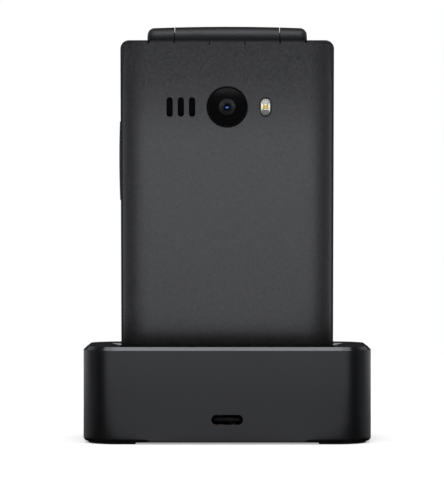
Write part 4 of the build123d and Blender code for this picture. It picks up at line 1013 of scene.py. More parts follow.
def turned(profile: Sequence[Spot], middle: Point, steps: int,
           matrix: Matrix, closed: bool = True) -> bpy.types.Mesh:
    """Turn a profile about a line along the phone's Y axis.

    Args:
        profile: radius and Y of each point, in order.
        middle: a point of the line; its Y is added to the profile's.
        steps: number of segments round it.
        matrix: carries the result to the row frame.
        closed: whether the profile's last point joins its first.

    Returns:
        The mesh.
    """
    shape = bmesh.new()
    rings = []
    for index in range(steps):
        angle = math.tau * index / steps
        rings.append([shape.verts.new((middle[0] + radius * math.cos(angle), middle[1] + y,
                                       middle[2] + radius * math.sin(angle)))
                      for radius, y in profile])
    bridge(shape, rings + rings[:1], closed)
    return finished_mesh(shape, matrix)


def bead(radius: float, y: float, thickness: float) -> list[Spot]:
    """Profile of a round bead.

    Args:
        radius: of the bead's middle line.
        y: of its middle.
        thickness: its own radius.

    Returns:
        Radius and Y of each point.
    """
    points = 10
    angles = [math.tau * index / points for index in range(points)]
    return [(radius + thickness * math.cos(a), y + thickness * math.sin(a)) for a in angles]


def stadium(width: float, height: float, steps: int) -> list[Spot]:
    """Upright outline with round ends, counted round from its right side.

    Args:
        width: its full width.
        height: its full height.
        steps: number of points.

    Returns:
        X and Z of each point about its middle.
    """
    radius = width / 2
    straight = height / 2 - radius
    points = []
    for index in range(steps):
        angle = math.tau * index / steps
        end = straight if math.sin(angle) >= 0 else -straight
        points.append((radius * math.cos(angle), end + radius * math.sin(angle)))
    return points


def blocks(boxes: Sequence[tuple[Point, Point]], matrix: Matrix, bevel: float = 0.0) -> bpy.types.Mesh:
    """Small bars with rounded edges, as one mesh.

    Args:
        boxes: the low and the high corner of each.
        matrix: carries them to the row frame.
        bevel: rounding of their edges.

    Returns:
        The mesh.
    """
    shape = bmesh.new()
    for low, high in boxes:
        made = bmesh.ops.create_cube(shape, size=1.0)["verts"]
        for vert in made:
            vert.co = Vector(tuple(a + (b - a) * (c + 0.5) for a, b, c in zip(low, high, vert.co)))
    if bevel:
        bmesh.ops.bevel(shape, geom=list(shape.edges), offset=bevel, segments=2, profile=0.6,
                        affect="EDGES")
    return finished_mesh(shape, matrix)


@dataclass(frozen=True)
class Legend:
    """A sign printed on a key: characters of a plain sans-serif."""

    text: str
    height: float
    thickness: float = 0.03

    def mesh(self, matrix: Matrix) -> bpy.types.Mesh:
        """Make the sign's mesh, in its own plane with its middle at 0.

        Args:
            matrix: carries it to the row frame.

        Returns:
            The mesh.
        """
        capital_share = 0.73
        curve = bpy.data.curves.new("legend", "FONT")
        curve.body = self.text
        curve.size = self.height / capital_share
        curve.align_x = "CENTER"
        curve.align_y = "CENTER"
        curve.extrude = self.thickness / 2
        curve.resolution_u = 6
        holder = stand("legend", curve)
        bpy.context.view_layer.update()
        mesh = bpy.data.meshes.new_from_object(holder)
        bpy.data.objects.remove(holder)
        bpy.data.curves.remove(curve)
        low = Vector((min(v.co.x for v in mesh.vertices), min(v.co.y for v in mesh.vertices), 0))
        high = Vector((max(v.co.x for v in mesh.vertices), max(v.co.y for v in mesh.vertices), 0))
        mesh.transform(Matrix.Translation(-(low + high) / 2))
        mesh.transform(matrix)
        return mesh


def stroke(points: Sequence[Spot], width: float, thickness: float,
           matrix: Matrix) -> bpy.types.Mesh:
    """A drawn line of one width, as a flat raised band.

    Args:
        points: its corners, in its own plane.
        width: the band's width.
        thickness: how far it stands out of its plane.
        matrix: carries it to the row frame.

    Returns:
        The mesh.
    """
    shape = bmesh.new()
    path = [Vector(point) for point in points]
    sides = []
    for index, point in enumerate(path):
        before = path[max(index - 1, 0)]
        after = path[min(index + 1, len(path) - 1)]
        along = (after - before).normalized()
        across = Vector((-along.y, along.x)) * (width / 2)
        sides.append((point + across, point - across))
    rows = []
    for level in (0.0, thickness):
        rows.append([[shape.verts.new((*side, level)) for side in pair] for pair in sides])
    for index in range(len(path) - 1):
        low, high = rows
        (a, b), (c, d) = low[index], low[index + 1]
        (e, f), (g, h) = high[index], high[index + 1]
        for corners in ((a, b, d, c), (e, g, h, f), (a, c, g, e), (b, f, h, d)):
            shape.faces.new(corners)
    for index in (0, -1):
        (a, b), (e, f) = rows[0][index], rows[1][index]
        shape.faces.new((a, e, f, b))
    return finished_mesh(shape, matrix)


def joined(meshes: Sequence[bpy.types.Mesh]) -> bpy.types.Mesh:
    """Several meshes as one.

    Args:
        meshes: the meshes, which are removed.

    Returns:
        The joined mesh.
    """
    shape = bmesh.new()
    for mesh in meshes:
        shape.from_mesh(mesh)
    whole = as_mesh(shape, "joined")
    for mesh in meshes:
        bpy.data.meshes.remove(mesh)
    return whole


# ---------------------------------------------------------------- the phone's back
@dataclass
class CoverLip:
    """Rounded lip along the battery cover's top edge, broken by notches.  Millimetres, phone's frame.

    The lip's face curves away by side_drop over side_run beyond flat_half, and its foot turns round a
    corner beyond corner_x.  back_gap is the least flat stretch of its top.  notches are the distance
    of each from the middle and its width, from the middle outwards.
    """

    seat: PhoneSeat
    face: float = -9.3
    back: float = -6.62
    top: float = 96.2
    height: float = 0.75
    depth: float = 2.2
    half: float = 26.5
    flat_half: float = 20.59
    side_run: float = 7.2
    side_drop: float = 3.9
    corner_x: float = 26.05
    corner: float = 1.74
    back_gap: float = 0.1
    curve_steps: int = 8
    run_step: float = 0.8
    notches: tuple[tuple[float, float], ...] = ((4.7, 0.25), (14.02, 0.4), (20.75, 0.45))

    def build(self, shop: Workshop) -> None:
        """Make the lip as one run between each pair of notches.

        Args:
            shop: makes the pieces.
        """
        cuts = [(side * place - width / 2, side * place + width / 2)
                for side in (-1, 1) for place, width in self.notches]
        edges = sorted([-self.half, self.half, *(edge for cut in cuts for edge in cut)])
        runs = zip(edges[::2], edges[1::2])
        shop.piece("cover_lip", joined([self._run(*run) for run in runs]), "phone_base", "frame_paint",
                   "cover_plastic", smooth_deg=40.0)

    def _run(self, low: float, high: float) -> bpy.types.Mesh:
        """One run of the lip between two places along X."""
        shape = bmesh.new()
        count = max(2, math.ceil((high - low) / self.run_step))
        rings = []
        for index in range(count + 1):
            x = low + (high - low) * index / count
            rings.append([shape.verts.new((x, y, z)) for y, z in self._section(abs(x))])
        bridge(shape, rings)
        shape.faces.new(rings[0])
        shape.faces.new(rings[-1])
        return finished_mesh(shape, self.seat.matrix)

    def _section(self, out: float) -> list[Spot]:
        """Y and Z of the lip's section at a distance from the middle."""
        share = max(0.0, out - self.flat_half) / self.side_run
        face = self.face + self.side_drop * (1 - math.sqrt(1 - share ** 2))
        turn = max(0.0, out - self.corner_x)
        foot = self.top - self.corner + math.sqrt(self.corner ** 2 - turn ** 2)
        depth = min(self.depth, self.back - face - self.back_gap)
        curve = []
        for step in range(self.curve_steps + 1):
            angle = math.pi / 2 * step / self.curve_steps
            curve.append((face + depth * (1 - math.cos(angle)), foot + self.height * math.sin(angle)))
        return [*curve, (self.back, foot + self.height), (self.back, foot)]


@dataclass
class BackCamera:
    """Camera's small parts: rim line, mask, baffle and lens.  Millimetres, phone's frame.

    mask_sphere is the radius of the mask's dome, and mask_gap its distance from the window.
    """

    seat: PhoneSeat
    middle_z: float = 79.4
    face: float = -10.6
    ring_proud: float = 0.15
    bead_radius: float = 5.14
    bead_thickness: float = 0.07
    glass_back: float = -9.7
    mask_inner: float = 2.32
    mask_outer: float = 4.96
    mask_thick: float = 0.04
    mask_gap: float = 0.005
    mask_sphere: float = 26.0
    baffle_outer: float = 1.28
    baffle_inner: float = 0.84
    baffle_face: float = -9.19
    baffle_back: float = -9.06
    baffle_chamfer: float = 0.12
    lens_radius: float = 0.84
    lens_rise: float = 0.46
    steps: int = 96

    def build(self, shop: Workshop) -> None:
        """Make the camera's small parts.

        Args:
            shop: makes the pieces.
        """
        rim_y = self.face - self.ring_proud + self.bead_thickness
        rim = bead(self.bead_radius, rim_y, self.bead_thickness)
        shop.piece("camera_rim_line", self._round(rim), "phone_base", "dark_trim", "camera_trim")
        shop.piece("camera_mask", self._round(self._mask()), "phone_base", "mask_ink", "camera_body")
        shop.piece("camera_baffle", self._round(self._baffle()), "phone_base", "baffle_black",
                   "camera_body")
        shop.piece("camera_lens", self._round(self._dome(), closed=False), "phone_base",
                   "lens_coating", "camera_body", smooth_deg=80.0)

    def _round(self, section: Sequence[Spot], closed: bool = True) -> bpy.types.Mesh:
        """Turn a section about the camera's axis."""
        return turned(section, (0.0, 0.0, self.middle_z), self.steps, self.seat.matrix, closed)

    def _mask(self) -> list[Spot]:
        """Section of the gently domed black ring behind the window."""
        count = 12
        first = math.asin(self.mask_inner / self.mask_sphere)
        last = math.asin(self.mask_outer / self.mask_sphere)
        front = []
        for index in range(count + 1):
            angle = first + (last - first) * index / count
            fall = self.mask_sphere * (math.cos(first) - math.cos(angle))
            front.append((self.mask_sphere * math.sin(angle), self.glass_back + self.mask_gap + fall))
        return front + [(radius, y + self.mask_thick) for radius, y in reversed(front)]

    def _baffle(self) -> list[Spot]:
        """Section of the ring that holds the lens, with a chamfer round its bore."""
        chamfer = self.baffle_chamfer
        return [(self.baffle_inner, self.baffle_back),
                (self.baffle_inner, self.baffle_face + chamfer / 2),
                (self.baffle_inner + chamfer, self.baffle_face),
                (self.baffle_outer, self.baffle_face), (self.baffle_outer, self.baffle_back)]

    def _dome(self) -> list[Spot]:
        """Section of the lens's domed front, from its rim to its middle."""
        sphere = (self.lens_radius ** 2 + self.lens_rise ** 2) / (2 * self.lens_rise)
        reach = math.asin(self.lens_radius / sphere)
        count = 10
        points = []
        for index in range(count + 1):
            angle = reach * (1 - index / count)
            sag = sphere * (1 - math.cos(angle))
            points.append((sphere * math.sin(angle), self.baffle_back - self.lens_rise + sag))
        return points


@dataclass
class HingeWashers:
    """Washers in the slits between the hinge's ears and its knuckle.  Millimetres, phone's frame."""

    seat: PhoneSeat
    middle_x: float = 14.02
    thickness: float = 0.12
    bore: float = 1.68
    radius: float = 2.9
    bevel: float = 0.04
    steps: int = 64

    def build(self, shop: Workshop) -> None:
        """Make both washers.

        Args:
            shop: makes the pieces.
        """
        half, edge = self.thickness / 2, self.thickness / 2 - self.bevel
        section = [(self.bore, -half), (self.radius - self.bevel, -half), (self.radius, -edge),
                   (self.radius, edge), (self.radius - self.bevel, half), (self.bore, half)]
        meshes = []
        for side in (-1, 1):
            place = Matrix.Translation((side * self.middle_x, 0.0, self.seat.axis_z))
            matrix = self.seat.matrix @ place @ Matrix.Rotation(math.pi / 2, 4, "Z")
            meshes.append(turned(section, (0.0, 0.0, 0.0), self.steps, matrix))
        shop.piece("hinge_washers", joined(meshes), "phone_base", "baffle_black", "hinge_steel")


@dataclass
class Flash:
    """Flash: a faceted reflector with its lamp behind a clear cover.  Millimetres, phone's frame.

    ridge is how far every other edge of the reflector's facets stands back, and ridge_at_lamp the
    share of it that is left at the lamp.
    """

    seat: PhoneSeat
    middle_x: float = 10.13
    middle_z: float = 79.4
    width: float = 3.0
    height: float = 5.05
    cover_face: float = -10.45
    cover_thick: float = 0.12
    cover_chamfer: float = 0.06
    printed_thick: float = 0.02
    printed_inset: float = 0.01
    bowl_width: float = 2.45
    bowl_height: float = 4.3
    rim_y: float = -10.24
    lamp_y: float = -9.5
    lamp_reach: float = 0.8
    facets: int = 13
    ridge: float = 0.3
    ridge_at_lamp: float = 0.3
    chip_width: float = 0.62
    chip_height: float = 1.1
    chip_gap: float = 0.06
    chip_proud: float = 0.03
    chip_sunk: float = 0.1
    chip_bevel: float = 0.04
    steps: int = 64

    def build(self, shop: Workshop) -> None:
        """Make the flash's parts.

        Args:
            shop: makes the pieces.
        """
        shop.piece("flash_cover", self._cover(), "phone_base", "clear_plastic", "flash_lens",
                   replaces=("flash_lens",))
        shop.piece("flash_reflector", self._reflector(), "phone_base", "silvered", "flash_led",
                   smooth_deg=10.0)
        shop.piece("flash_rim", self._rim(), "phone_base", "mask_ink", "flash_lens")
        shop.piece("flash_chips", self._chips(), "phone_base", "phosphor", "flash_led")

    def _ring(self, shape: bmesh.types.BMesh, width: float, height: float, y: float,
              steps: int) -> list[bmesh.types.BMVert]:
        """Add an outline with round ends about the flash's middle.

        Args:
            shape: the bmesh that takes its points.
            width: its full width.
            height: its full height.
            y: where it lies.
            steps: number of points.

        Returns:
            Its points.
        """
        return [shape.verts.new((self.middle_x + x, y, self.middle_z + z))
                for x, z in stadium(width, height, steps)]

    def _cover(self) -> bpy.types.Mesh:
        """Clear cover with a chamfer round its face."""
        shape = bmesh.new()
        chamfer = self.cover_chamfer
        levels = ((0.0, self.cover_face + self.cover_thick), (0.0, self.cover_face + chamfer),
                  (chamfer, self.cover_face))
        rings = [self._ring(shape, self.width - 2 * inset, self.height - 2 * inset, y, self.steps)
                 for inset, y in levels]
        bridge(shape, rings)
        shape.faces.new(rings[0])
        shape.faces.new(rings[-1])
        return finished_mesh(shape, self.seat.matrix)

    def _rim(self) -> bpy.types.Mesh:
        """Dark ring printed round the edge of the cover's face."""
        shape = bmesh.new()
        inset = 2 * self.printed_inset
        outer = (self.width - inset, self.height - inset)
        inner = (self.bowl_width, self.bowl_height)
        front = self.cover_face - self.printed_thick
        loops = [self._ring(shape, *size, y, self.steps)
                 for size, y in ((inner, front), (outer, front),
                                 (outer, self.cover_face), (inner, self.cover_face))]
        bridge(shape, loops + loops[:1])
        return finished_mesh(shape, self.seat.matrix)

    def _reflector(self) -> bpy.types.Mesh:
        """Bowl of narrow facets that run from the rim in to the lamp."""
        shape = bmesh.new()
        outer, inner = [], []
        for index, (x, z) in enumerate(stadium(self.bowl_width, self.bowl_height, self.facets * 2)):
            lift = self.ridge if index % 2 else 0.0
            reach = self.lamp_reach / math.hypot(x, z)
            outer.append(shape.verts.new((self.middle_x + x, self.rim_y + lift, self.middle_z + z)))
            inner.append(shape.verts.new((self.middle_x + x * reach,
                                          self.lamp_y + lift * self.ridge_at_lamp,
                                          self.middle_z + z * reach)))
        bridge(shape, [outer, inner])
        shape.faces.new(inner)
        return finished_mesh(shape, self.seat.matrix)

    def _chips(self) -> bpy.types.Mesh:
        """The lamp's two chips, side by side."""
        half, gap = self.chip_height / 2, self.chip_gap / 2
        front, back = self.lamp_y - self.chip_proud, self.lamp_y + self.chip_sunk
        pair = []
        for side in (-1, 1):
            low, high = sorted((self.middle_x + side * gap,
                                self.middle_x + side * (gap + self.chip_width)))
            pair.append(((low, front, self.middle_z - half), (high, back, self.middle_z + half)))
        return blocks(pair, self.seat.matrix, self.chip_bevel)


# ---------------------------------------------------------------- the keypad
class Icon(Enum):
    """Signs that are drawn as lines."""

    CALL = "call"
    END = "end"
    DASH = "dash"
    STAR = "star"
    BACK = "back"
    ARROW = "arrow"


@dataclass
class Keypad:
    """Legends on the keys.  Millimetres, phone's frame, seen from +Y with +X on the left."""

    seat: PhoneSeat
    top: float = -0.25
    digit_height: float = 3.7
    ok_height: float = 2.0
    ring_middle_z: float = 71.5
    arrow_reach: float = 7.9
    star_reach: float = 1.25
    handset_radius: float = 1.9
    handset_tilt: float = -135.0
    print_depth: float = 0.03
    line_width: float = 0.42

    def build(self, shop: Workshop) -> None:
        """Make every legend.

        Args:
            shop: makes the pieces.
        """
        white = "legend_white"
        signs = {f"key_{digit}": str(digit) for digit in range(10)}
        signs["key_hash"] = "#"
        for node, text in signs.items():
            mesh = Legend(text, self.digit_height).mesh(self._plane(node))
            shop.piece(f"{node}_legend", mesh, node, white, "key_plastic")
        for node, icon, finish, slot in (
                ("key_call", Icon.CALL, "legend_green", "call_key_plastic"),
                ("key_end", Icon.END, "legend_red", "end_key_plastic"),
                ("key_soft_left", Icon.DASH, white, "key_plastic"),
                ("key_soft_right", Icon.DASH, white, "key_plastic"),
                ("key_clear", Icon.BACK, white, "key_plastic"),
                ("key_star", Icon.STAR, white, "key_plastic")):
            mesh = joined([self._line(points, self._plane(node)) for points in self._drawing(icon)])
            shop.piece(f"{node}_legend", mesh, node, finish, slot)
        ok_sign = Legend("OK", self.ok_height).mesh(self._plane("ok_key"))
        shop.piece("ok_key_legend", ok_sign, "ok_key", white, "nav_plastic")
        shop.piece("nav_ring_legend", self._arrows(), "nav_ring", white, "nav_plastic")

    def _arrows(self) -> bpy.types.Mesh:
        """The four arrows on the ring."""
        lines = []
        for quarter in range(4):
            turn = Matrix.Rotation(math.radians(90 * quarter), 4, "Z")
            out = Matrix.Translation((0, self.arrow_reach, 0))
            place = self._plane_at(0.0, self.ring_middle_z) @ turn @ out
            lines += [self._line(points, place) for points in self._drawing(Icon.ARROW)]
        return joined(lines)

    def _plane_at(self, x: float, z: float) -> Matrix:
        """The plane of a key's top at a place, as the user sees it."""
        turned_round = Matrix(((-1, 0, 0, x), (0, 0, 1, self.top), (0, 1, 0, z), (0, 0, 0, 1)))
        return self.seat.matrix @ turned_round

    def _plane(self, node: str) -> Matrix:
        """The plane of a key's top at the key's middle."""
        low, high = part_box(node)
        middle = self.seat.matrix.inverted() @ ((low + high) / 2)
        return self._plane_at(middle.x, middle.z)

    def _line(self, points: Sequence[Spot], place: Matrix) -> bpy.types.Mesh:
        """One printed line on a key."""
        return stroke(points, self.line_width, self.print_depth, place)

    def _drawing(self, icon: Icon) -> list[list[Spot]]:
        """The lines of an icon.

        Args:
            icon: which icon.

        Returns:
            Each line as its points, in millimetres about the icon's middle.
        """
        if icon is Icon.DASH:
            return [[(-1.5, 0.0), (1.5, 0.0)]]
        if icon is Icon.ARROW:
            return [[(-0.8, -0.35), (0.0, 0.35), (0.8, -0.35)]]
        if icon is Icon.STAR:
            return self._star()
        if icon is Icon.BACK:
            return [[(-1.7, 0.0), (-0.6, 1.1), (1.8, 1.1), (1.8, -1.1), (-0.6, -1.1), (-1.7, 0.0)],
                    [(0.1, 0.5), (1.1, -0.5)], [(0.1, -0.5), (1.1, 0.5)]]
        if icon is Icon.END:
            return self._handset()
        tilt = math.radians(self.handset_tilt)
        cos, sin = math.cos(tilt), math.sin(tilt)
        return [[(x * cos - z * sin, x * sin + z * cos) for x, z in line] for line in self._handset()]

    def _star(self) -> list[list[Spot]]:
        """Three lines through one middle."""
        lines = []
        for turn in range(3):
            angle = turn * math.pi / 3
            x, z = self.star_reach * math.sin(angle), self.star_reach * math.cos(angle)
            lines.append([(-x, -z), (x, z)])
        return lines

    def _handset(self) -> list[list[Spot]]:
        """A telephone's handset lying down: an arc with a short line at either end."""
        count, first_deg, sweep_deg, drop = 14, 35, 110, 1.0
        ear = (0.25, 0.75)
        bend = [math.radians(first_deg + sweep_deg * step / count) for step in range(count + 1)]
        arc = [(self.handset_radius * math.cos(angle), self.handset_radius * math.sin(angle) - drop)
               for angle in bend]
        right, left = arc[0], arc[-1]
        return [arc, [right, (right[0] + ear[0], right[1] - ear[1])],
                [left, (left[0] - ear[0], left[1] - ear[1])]]


# ---------------------------------------------------------------- sockets
@dataclass
class Socket:
    """Contacts and springs inside a USB-C receptacle.  Millimetres about its middle, Y inwards.

    mouth, tongue_face and tongue_end are places along its depth, and mouth_half and tongue_half half
    the heights of its mouth and its tongue.
    """

    name: str
    body: str
    matrix: Matrix
    mouth: float
    tongue_face: float
    tongue_end: float
    mouth_half: float = 1.28
    tongue_half: float = 0.35
    contacts: int = 12
    contact_pitch: float = 0.5
    contact_width: float = 0.27
    contact_proud: float = 0.03
    contact_sunk: float = 0.1
    contact_front: float = 0.35
    contact_back: float = 0.1
    spring_x: float = 1.55
    spring_wide: float = 0.95
    spring_high: float = 0.34
    spring_root: float = 0.02
    spring_start: float = 0.25
    spring_end: float = 1.75
    spring_tip_place: float = 0.35
    spring_tip_share: float = 0.3

    def build(self, shop: Workshop) -> None:
        """Make the contacts and the four springs.

        Args:
            shop: makes the pieces.
        """
        shop.piece(f"{self.name}_contacts", self._contacts(), self.body, "gold", "gold_contacts")
        shop.piece(f"{self.name}_springs", self._springs(), self.body, "gold", "gold_contacts")

    def _contacts(self) -> bpy.types.Mesh:
        """Rows of contacts on both faces of the tongue.  contact_sunk is a share of its thickness."""
        low, high = self.tongue_face + self.contact_front, self.tongue_end - self.contact_back
        root = self.tongue_half * (1 - self.contact_sunk)
        crown = self.tongue_half + self.contact_proud
        half = self.contact_width / 2
        bars = []
        for index in range(self.contacts):
            x = (index - (self.contacts - 1) / 2) * self.contact_pitch
            for side in (-1, 1):
                inner, outer = sorted((side * root, side * crown))
                bars.append(((x - half, low, inner), (x + half, high, outer)))
        return blocks(bars, self.matrix)

    def _springs(self) -> bpy.types.Mesh:
        """Four sprung dimples in the shell, as low roofs."""
        shape = bmesh.new()
        start, end = self.mouth + self.spring_start, self.mouth + self.spring_end
        tip_y = start + (end - start) * self.spring_tip_place
        half = self.spring_wide / 2
        tip_half = half * self.spring_tip_share
        for x in (-self.spring_x, self.spring_x):
            for side in (-1, 1):
                root = side * (self.mouth_half + self.spring_root)
                crown = side * (self.mouth_half - self.spring_high)
                base = [shape.verts.new((x + dx, y, root)) for dx, y in
                        ((-half, start), (half, start), (half, end), (-half, end))]
                tips = [shape.verts.new((x + dx, tip_y, crown)) for dx in (-tip_half, tip_half)]
                shape.faces.new((base[0], base[1], tips[1], tips[0]))
                shape.faces.new((base[2], base[3], tips[0], tips[1]))
                shape.faces.new((base[1], base[2], tips[1]))
                shape.faces.new((base[3], base[0], tips[0]))
                shape.faces.new(base[::-1])
        return finished_mesh(shape, self.matrix)


# ---------------------------------------------------------------- studio
@dataclass(frozen=True)
class Card:
    """A card that only reflections and glass see.  It is curved about the object and ends at the floor.

    turn is its reach round the object from the camera's side and rise its reach above the horizon,
    in degrees.  Its mirror image stands on the other side.  radius and above_floor are in metres.
    """

    name: str
    turn: tuple[float, float]
    rise: tuple[float, float]
    level: float
    tint: Colour = (0.955, 0.975, 1.04)
    radius: float = 1.7
    above_floor: float = 0.0005
    step_deg: float = 4.0

    def build(self, middle: Vector) -> None:
        """Make the card.

        Args:
            middle: the point that it is curved about.
        """
        shape = bmesh.new()
        for side in (1, -1):
            self._sheet(shape, middle, side)
        mesh = as_mesh(shape, self.name)
        card = stand(self.name, mesh)
        material = bpy.data.materials.new(self.name)
        material.use_nodes = True
        sketch = Sketch(material.node_tree)
        emission = sketch.add("ShaderNodeEmission")
        emission.inputs["Color"].default_value = (*self.tint, 1.0)
        emission.inputs["Strength"].default_value = self.level
        sketch.feed(material.node_tree.nodes["Material Output"].inputs["Surface"], emission.outputs[0])
        mesh.materials.append(material)
        for name in ("camera", "diffuse", "shadow", "volume_scatter"):
            setattr(card, f"visible_{name}", False)

    def _sheet(self, shape: bmesh.types.BMesh, middle: Vector, side: int) -> None:
        """Add the card's sheet to a mesh.

        Args:
            shape: the mesh.
            middle: the point that it is curved about.
            side: 1 or -1 for its mirror image.
        """
        grid = []
        for rise in self._steps(self.rise):
            reach = self.radius
            if rise < 0:
                reach = min(reach, (middle.z - self.above_floor) / -math.sin(rise))
            line = []
            for turn in self._steps(self.turn):
                ray = Vector((side * math.sin(turn) * math.cos(rise), -math.cos(turn) * math.cos(rise),
                              math.sin(rise)))
                line.append(shape.verts.new(middle + ray * reach))
            grid.append(line)
        bridge(shape, grid, closed=False)

    def _steps(self, limits: tuple[float, float]) -> list[float]:
        """Even steps between two angles in degrees, as radians."""
        low, high = limits
        count = max(2, math.ceil((high - low) / self.step_deg))
        return [math.radians(low + (high - low) * index / count) for index in range(count + 1)]


@dataclass(frozen=True)
class Lamp:
    """A soft square lamp that points at a target.  Metres, and watts."""

    name: str
    place: Point
    size: tuple[float, float]
    power: float
    target: Point = (0.0, 0.0, 0.05)

    def build(self) -> None:
        """Make the lamp.  Reflections show the cards instead of it."""
        light = bpy.data.lights.new(self.name, "AREA")
        light.shape = "RECTANGLE"
        light.size, light.size_y = self.size
        light.energy = self.power
        lamp = stand(self.name, light)
        lamp.location = self.place
        direction = Vector(self.target) - Vector(self.place)
        lamp.rotation_euler = direction.to_track_quat("-Z", "Y").to_euler()
        lamp.visible_camera = False
        lamp.visible_glossy = False


@dataclass(frozen=True)
class StillCamera:
    """Camera of the still: level, looking along +Y.

    image_height, focal and object_right, how far right of the middle the object stands, are in
    pixels of the still.  sensor is in millimetres, and so is place, in the row frame.
    """

    image_height: float = 480.0
    focal: float = 2460.0
    object_right: float = 5.2
    sensor: float = 36.0
    place: Point = (0.0, -668.5, 54.0)

    def build(self) -> None:
        """Make the camera and make it the scene's."""
        data = bpy.data.cameras.new("still_camera")
        data.sensor_fit = "AUTO"
        data.sensor_width = self.sensor
        data.lens = self.sensor * self.focal / self.image_height
        data.shift_x = -self.object_right / self.image_height
        data.clip_start = 0.01
        data.clip_end = 50.0
        camera = stand("still_camera", data)
        camera.location = Vector(self.place) * MM
        camera.rotation_euler = (math.radians(90), 0.0, 0.0)
        bpy.context.scene.camera = camera


@dataclass
class Studio:
    """Floor, surroundings, lamps and cards.  Metres.

    The floor keeps its full strength out to floor_full.  floor_top_up is the light that it gives to
    the camera alone, and middle the point that the cards are curved about.
    """

    floor_radius: float = 0.7
    floor_full: float = 0.3
    floor_drop: float = 0.00002
    floor_colour: Colour = (0.8, 0.8, 0.8)
    floor_top_up: float = 0.4
    ambient: float = 0.55
    middle: Point = (0.0, 0.0, 0.05)
    lamps: Sequence[Lamp] = (
        Lamp("overhead_softbox", (0.0, -0.16, 1.65), (2.0, 0.54), 12.5),
        Lamp("front_fill", (0.0, -0.9, 0.7), (0.8, 0.5), 3.0),
    )
    cards: Sequence[Card] = (
        Card("front_near_floor", (0, 45), (-60, -30), 1.1),
        Card("front_floor", (0, 45), (-30, -16), 0.3),
        Card("front_bounce", (0, 45), (-16, -4), 3.0),
        Card("front_flag", (0, 45), (-4, 8), 0.05),
        Card("front_horizon", (0, 45), (8, 18), 0.5),
        Card("front_gap", (0, 45), (18, 60), 0.0),
        Card("front_top", (0, 45), (60, 75), 1.6),
        Card("side_flag", (45, 75), (-60, 60), 0.0),
        Card("side_flag_top", (45, 75), (60, 75), 0.44),
        Card("side_far_floor", (75, 105), (-60, -6), 0.24),
        Card("side_far_flag", (75, 105), (-6, 60), 0.15),
        Card("side_softbox", (75, 105), (60, 75), 3.3),
        Card("overhead_card", (0, 90), (75, 90), 5.0),
        Card("rear_low_panel", (105, 130), (-12, 1), 0.7),
        Card("rear_low_flag", (105, 130), (1, 18), 0.3),
        Card("rear_panel", (105, 130), (18, 45), 0.25),
        Card("rear_floor", (105, 130), (-60, -12), 0.25),
        Card("rear_side_floor", (130, 150), (-60, -12), 0.25),
        Card("rear_side_low", (130, 150), (-12, 1), 0.8),
        Card("rear_side_panel", (130, 150), (15, 45), 0.45),
        Card("rear_side_flag", (130, 150), (1, 15), 0.1),
        Card("rear_flag", (105, 150), (45, 75), 0.1),
        Card("back_flag", (150, 180), (-4, 75), 0.04),
        Card("back_top", (90, 180), (75, 90), 0.25),
    )

    def build(self) -> None:
        """Make the studio."""
        self._surroundings()
        self._floor()
        for lamp in self.lamps:
            lamp.build()
        for card in self.cards:
            card.build(Vector(self.middle))
        bpy.context.scene.view_settings.view_transform = "Standard"
        LOG.info("studio with %d lamps and %d cards", len(self.lamps), len(self.cards))

    def _surroundings(self) -> None:
        """White to the camera, to reflections and through glass, and an even light otherwise."""
        world = bpy.data.worlds.new("surroundings")
        bpy.context.scene.world = world
        world.use_nodes = True
        world.cycles.sampling_method = "NONE"
        sketch = Sketch(world.node_tree)
        background = world.node_tree.nodes["Background"]
        path = sketch.add("ShaderNodeLightPath")
        seen = sketch.math("MAXIMUM", path.outputs["Is Camera Ray"], path.outputs["Is Glossy Ray"])
        seen = sketch.math("MAXIMUM", seen, path.outputs["Is Transmission Ray"])
        rest = sketch.math("MULTIPLY_ADD", seen, 1.0 - self.ambient, self.ambient)
        background.inputs["Color"].default_value = (1.0, 1.0, 1.0, 1.0)
        sketch.feed(background.inputs["Strength"], rest)

    def _floor(self) -> None:
        """A pale round floor that keeps the shadow and fades out towards its rim."""
        shape = bmesh.new()
        bmesh.ops.create_circle(shape, cap_ends=True, segments=96, radius=self.floor_radius)
        mesh = as_mesh(shape, "floor")
        floor = stand("floor", mesh)
        floor.location.z = -self.floor_drop
        material = bpy.data.materials.new("floor_paper")
        material.use_nodes = True
        sketch = Sketch(material.node_tree)
        shader = material.node_tree.nodes["Principled BSDF"]
        shader.inputs["Base Color"].default_value = (*self.floor_colour, 1.0)
        shader.inputs["Roughness"].default_value = 0.9
        shader.inputs["Specular IOR Level"].default_value = 0.1
        shader.inputs["Emission Color"].default_value = (1.0, 1.0, 1.0, 1.0)
        path = sketch.add("ShaderNodeLightPath")
        sketch.feed(shader.inputs["Emission Strength"],
                    sketch.math("MULTIPLY", path.outputs["Is Camera Ray"], self.floor_top_up))
        out = sketch.vector_math("LENGTH", sketch.place()).outputs["Value"]
        fade = sketch.ramp(out, self.floor_radius * 0.98, self.floor_full)
        sketch.feed(shader.inputs["Alpha"], fade)
        mesh.materials.append(material)


# ---------------------------------------------------------------- the whole
@dataclass(frozen=True)
class Display:
    """A display behind its glass: where it lies and half its size.  Millimetres, phone's frame."""

    glass_y: float
    middle_z: float
    half_width: float
    half_height: float


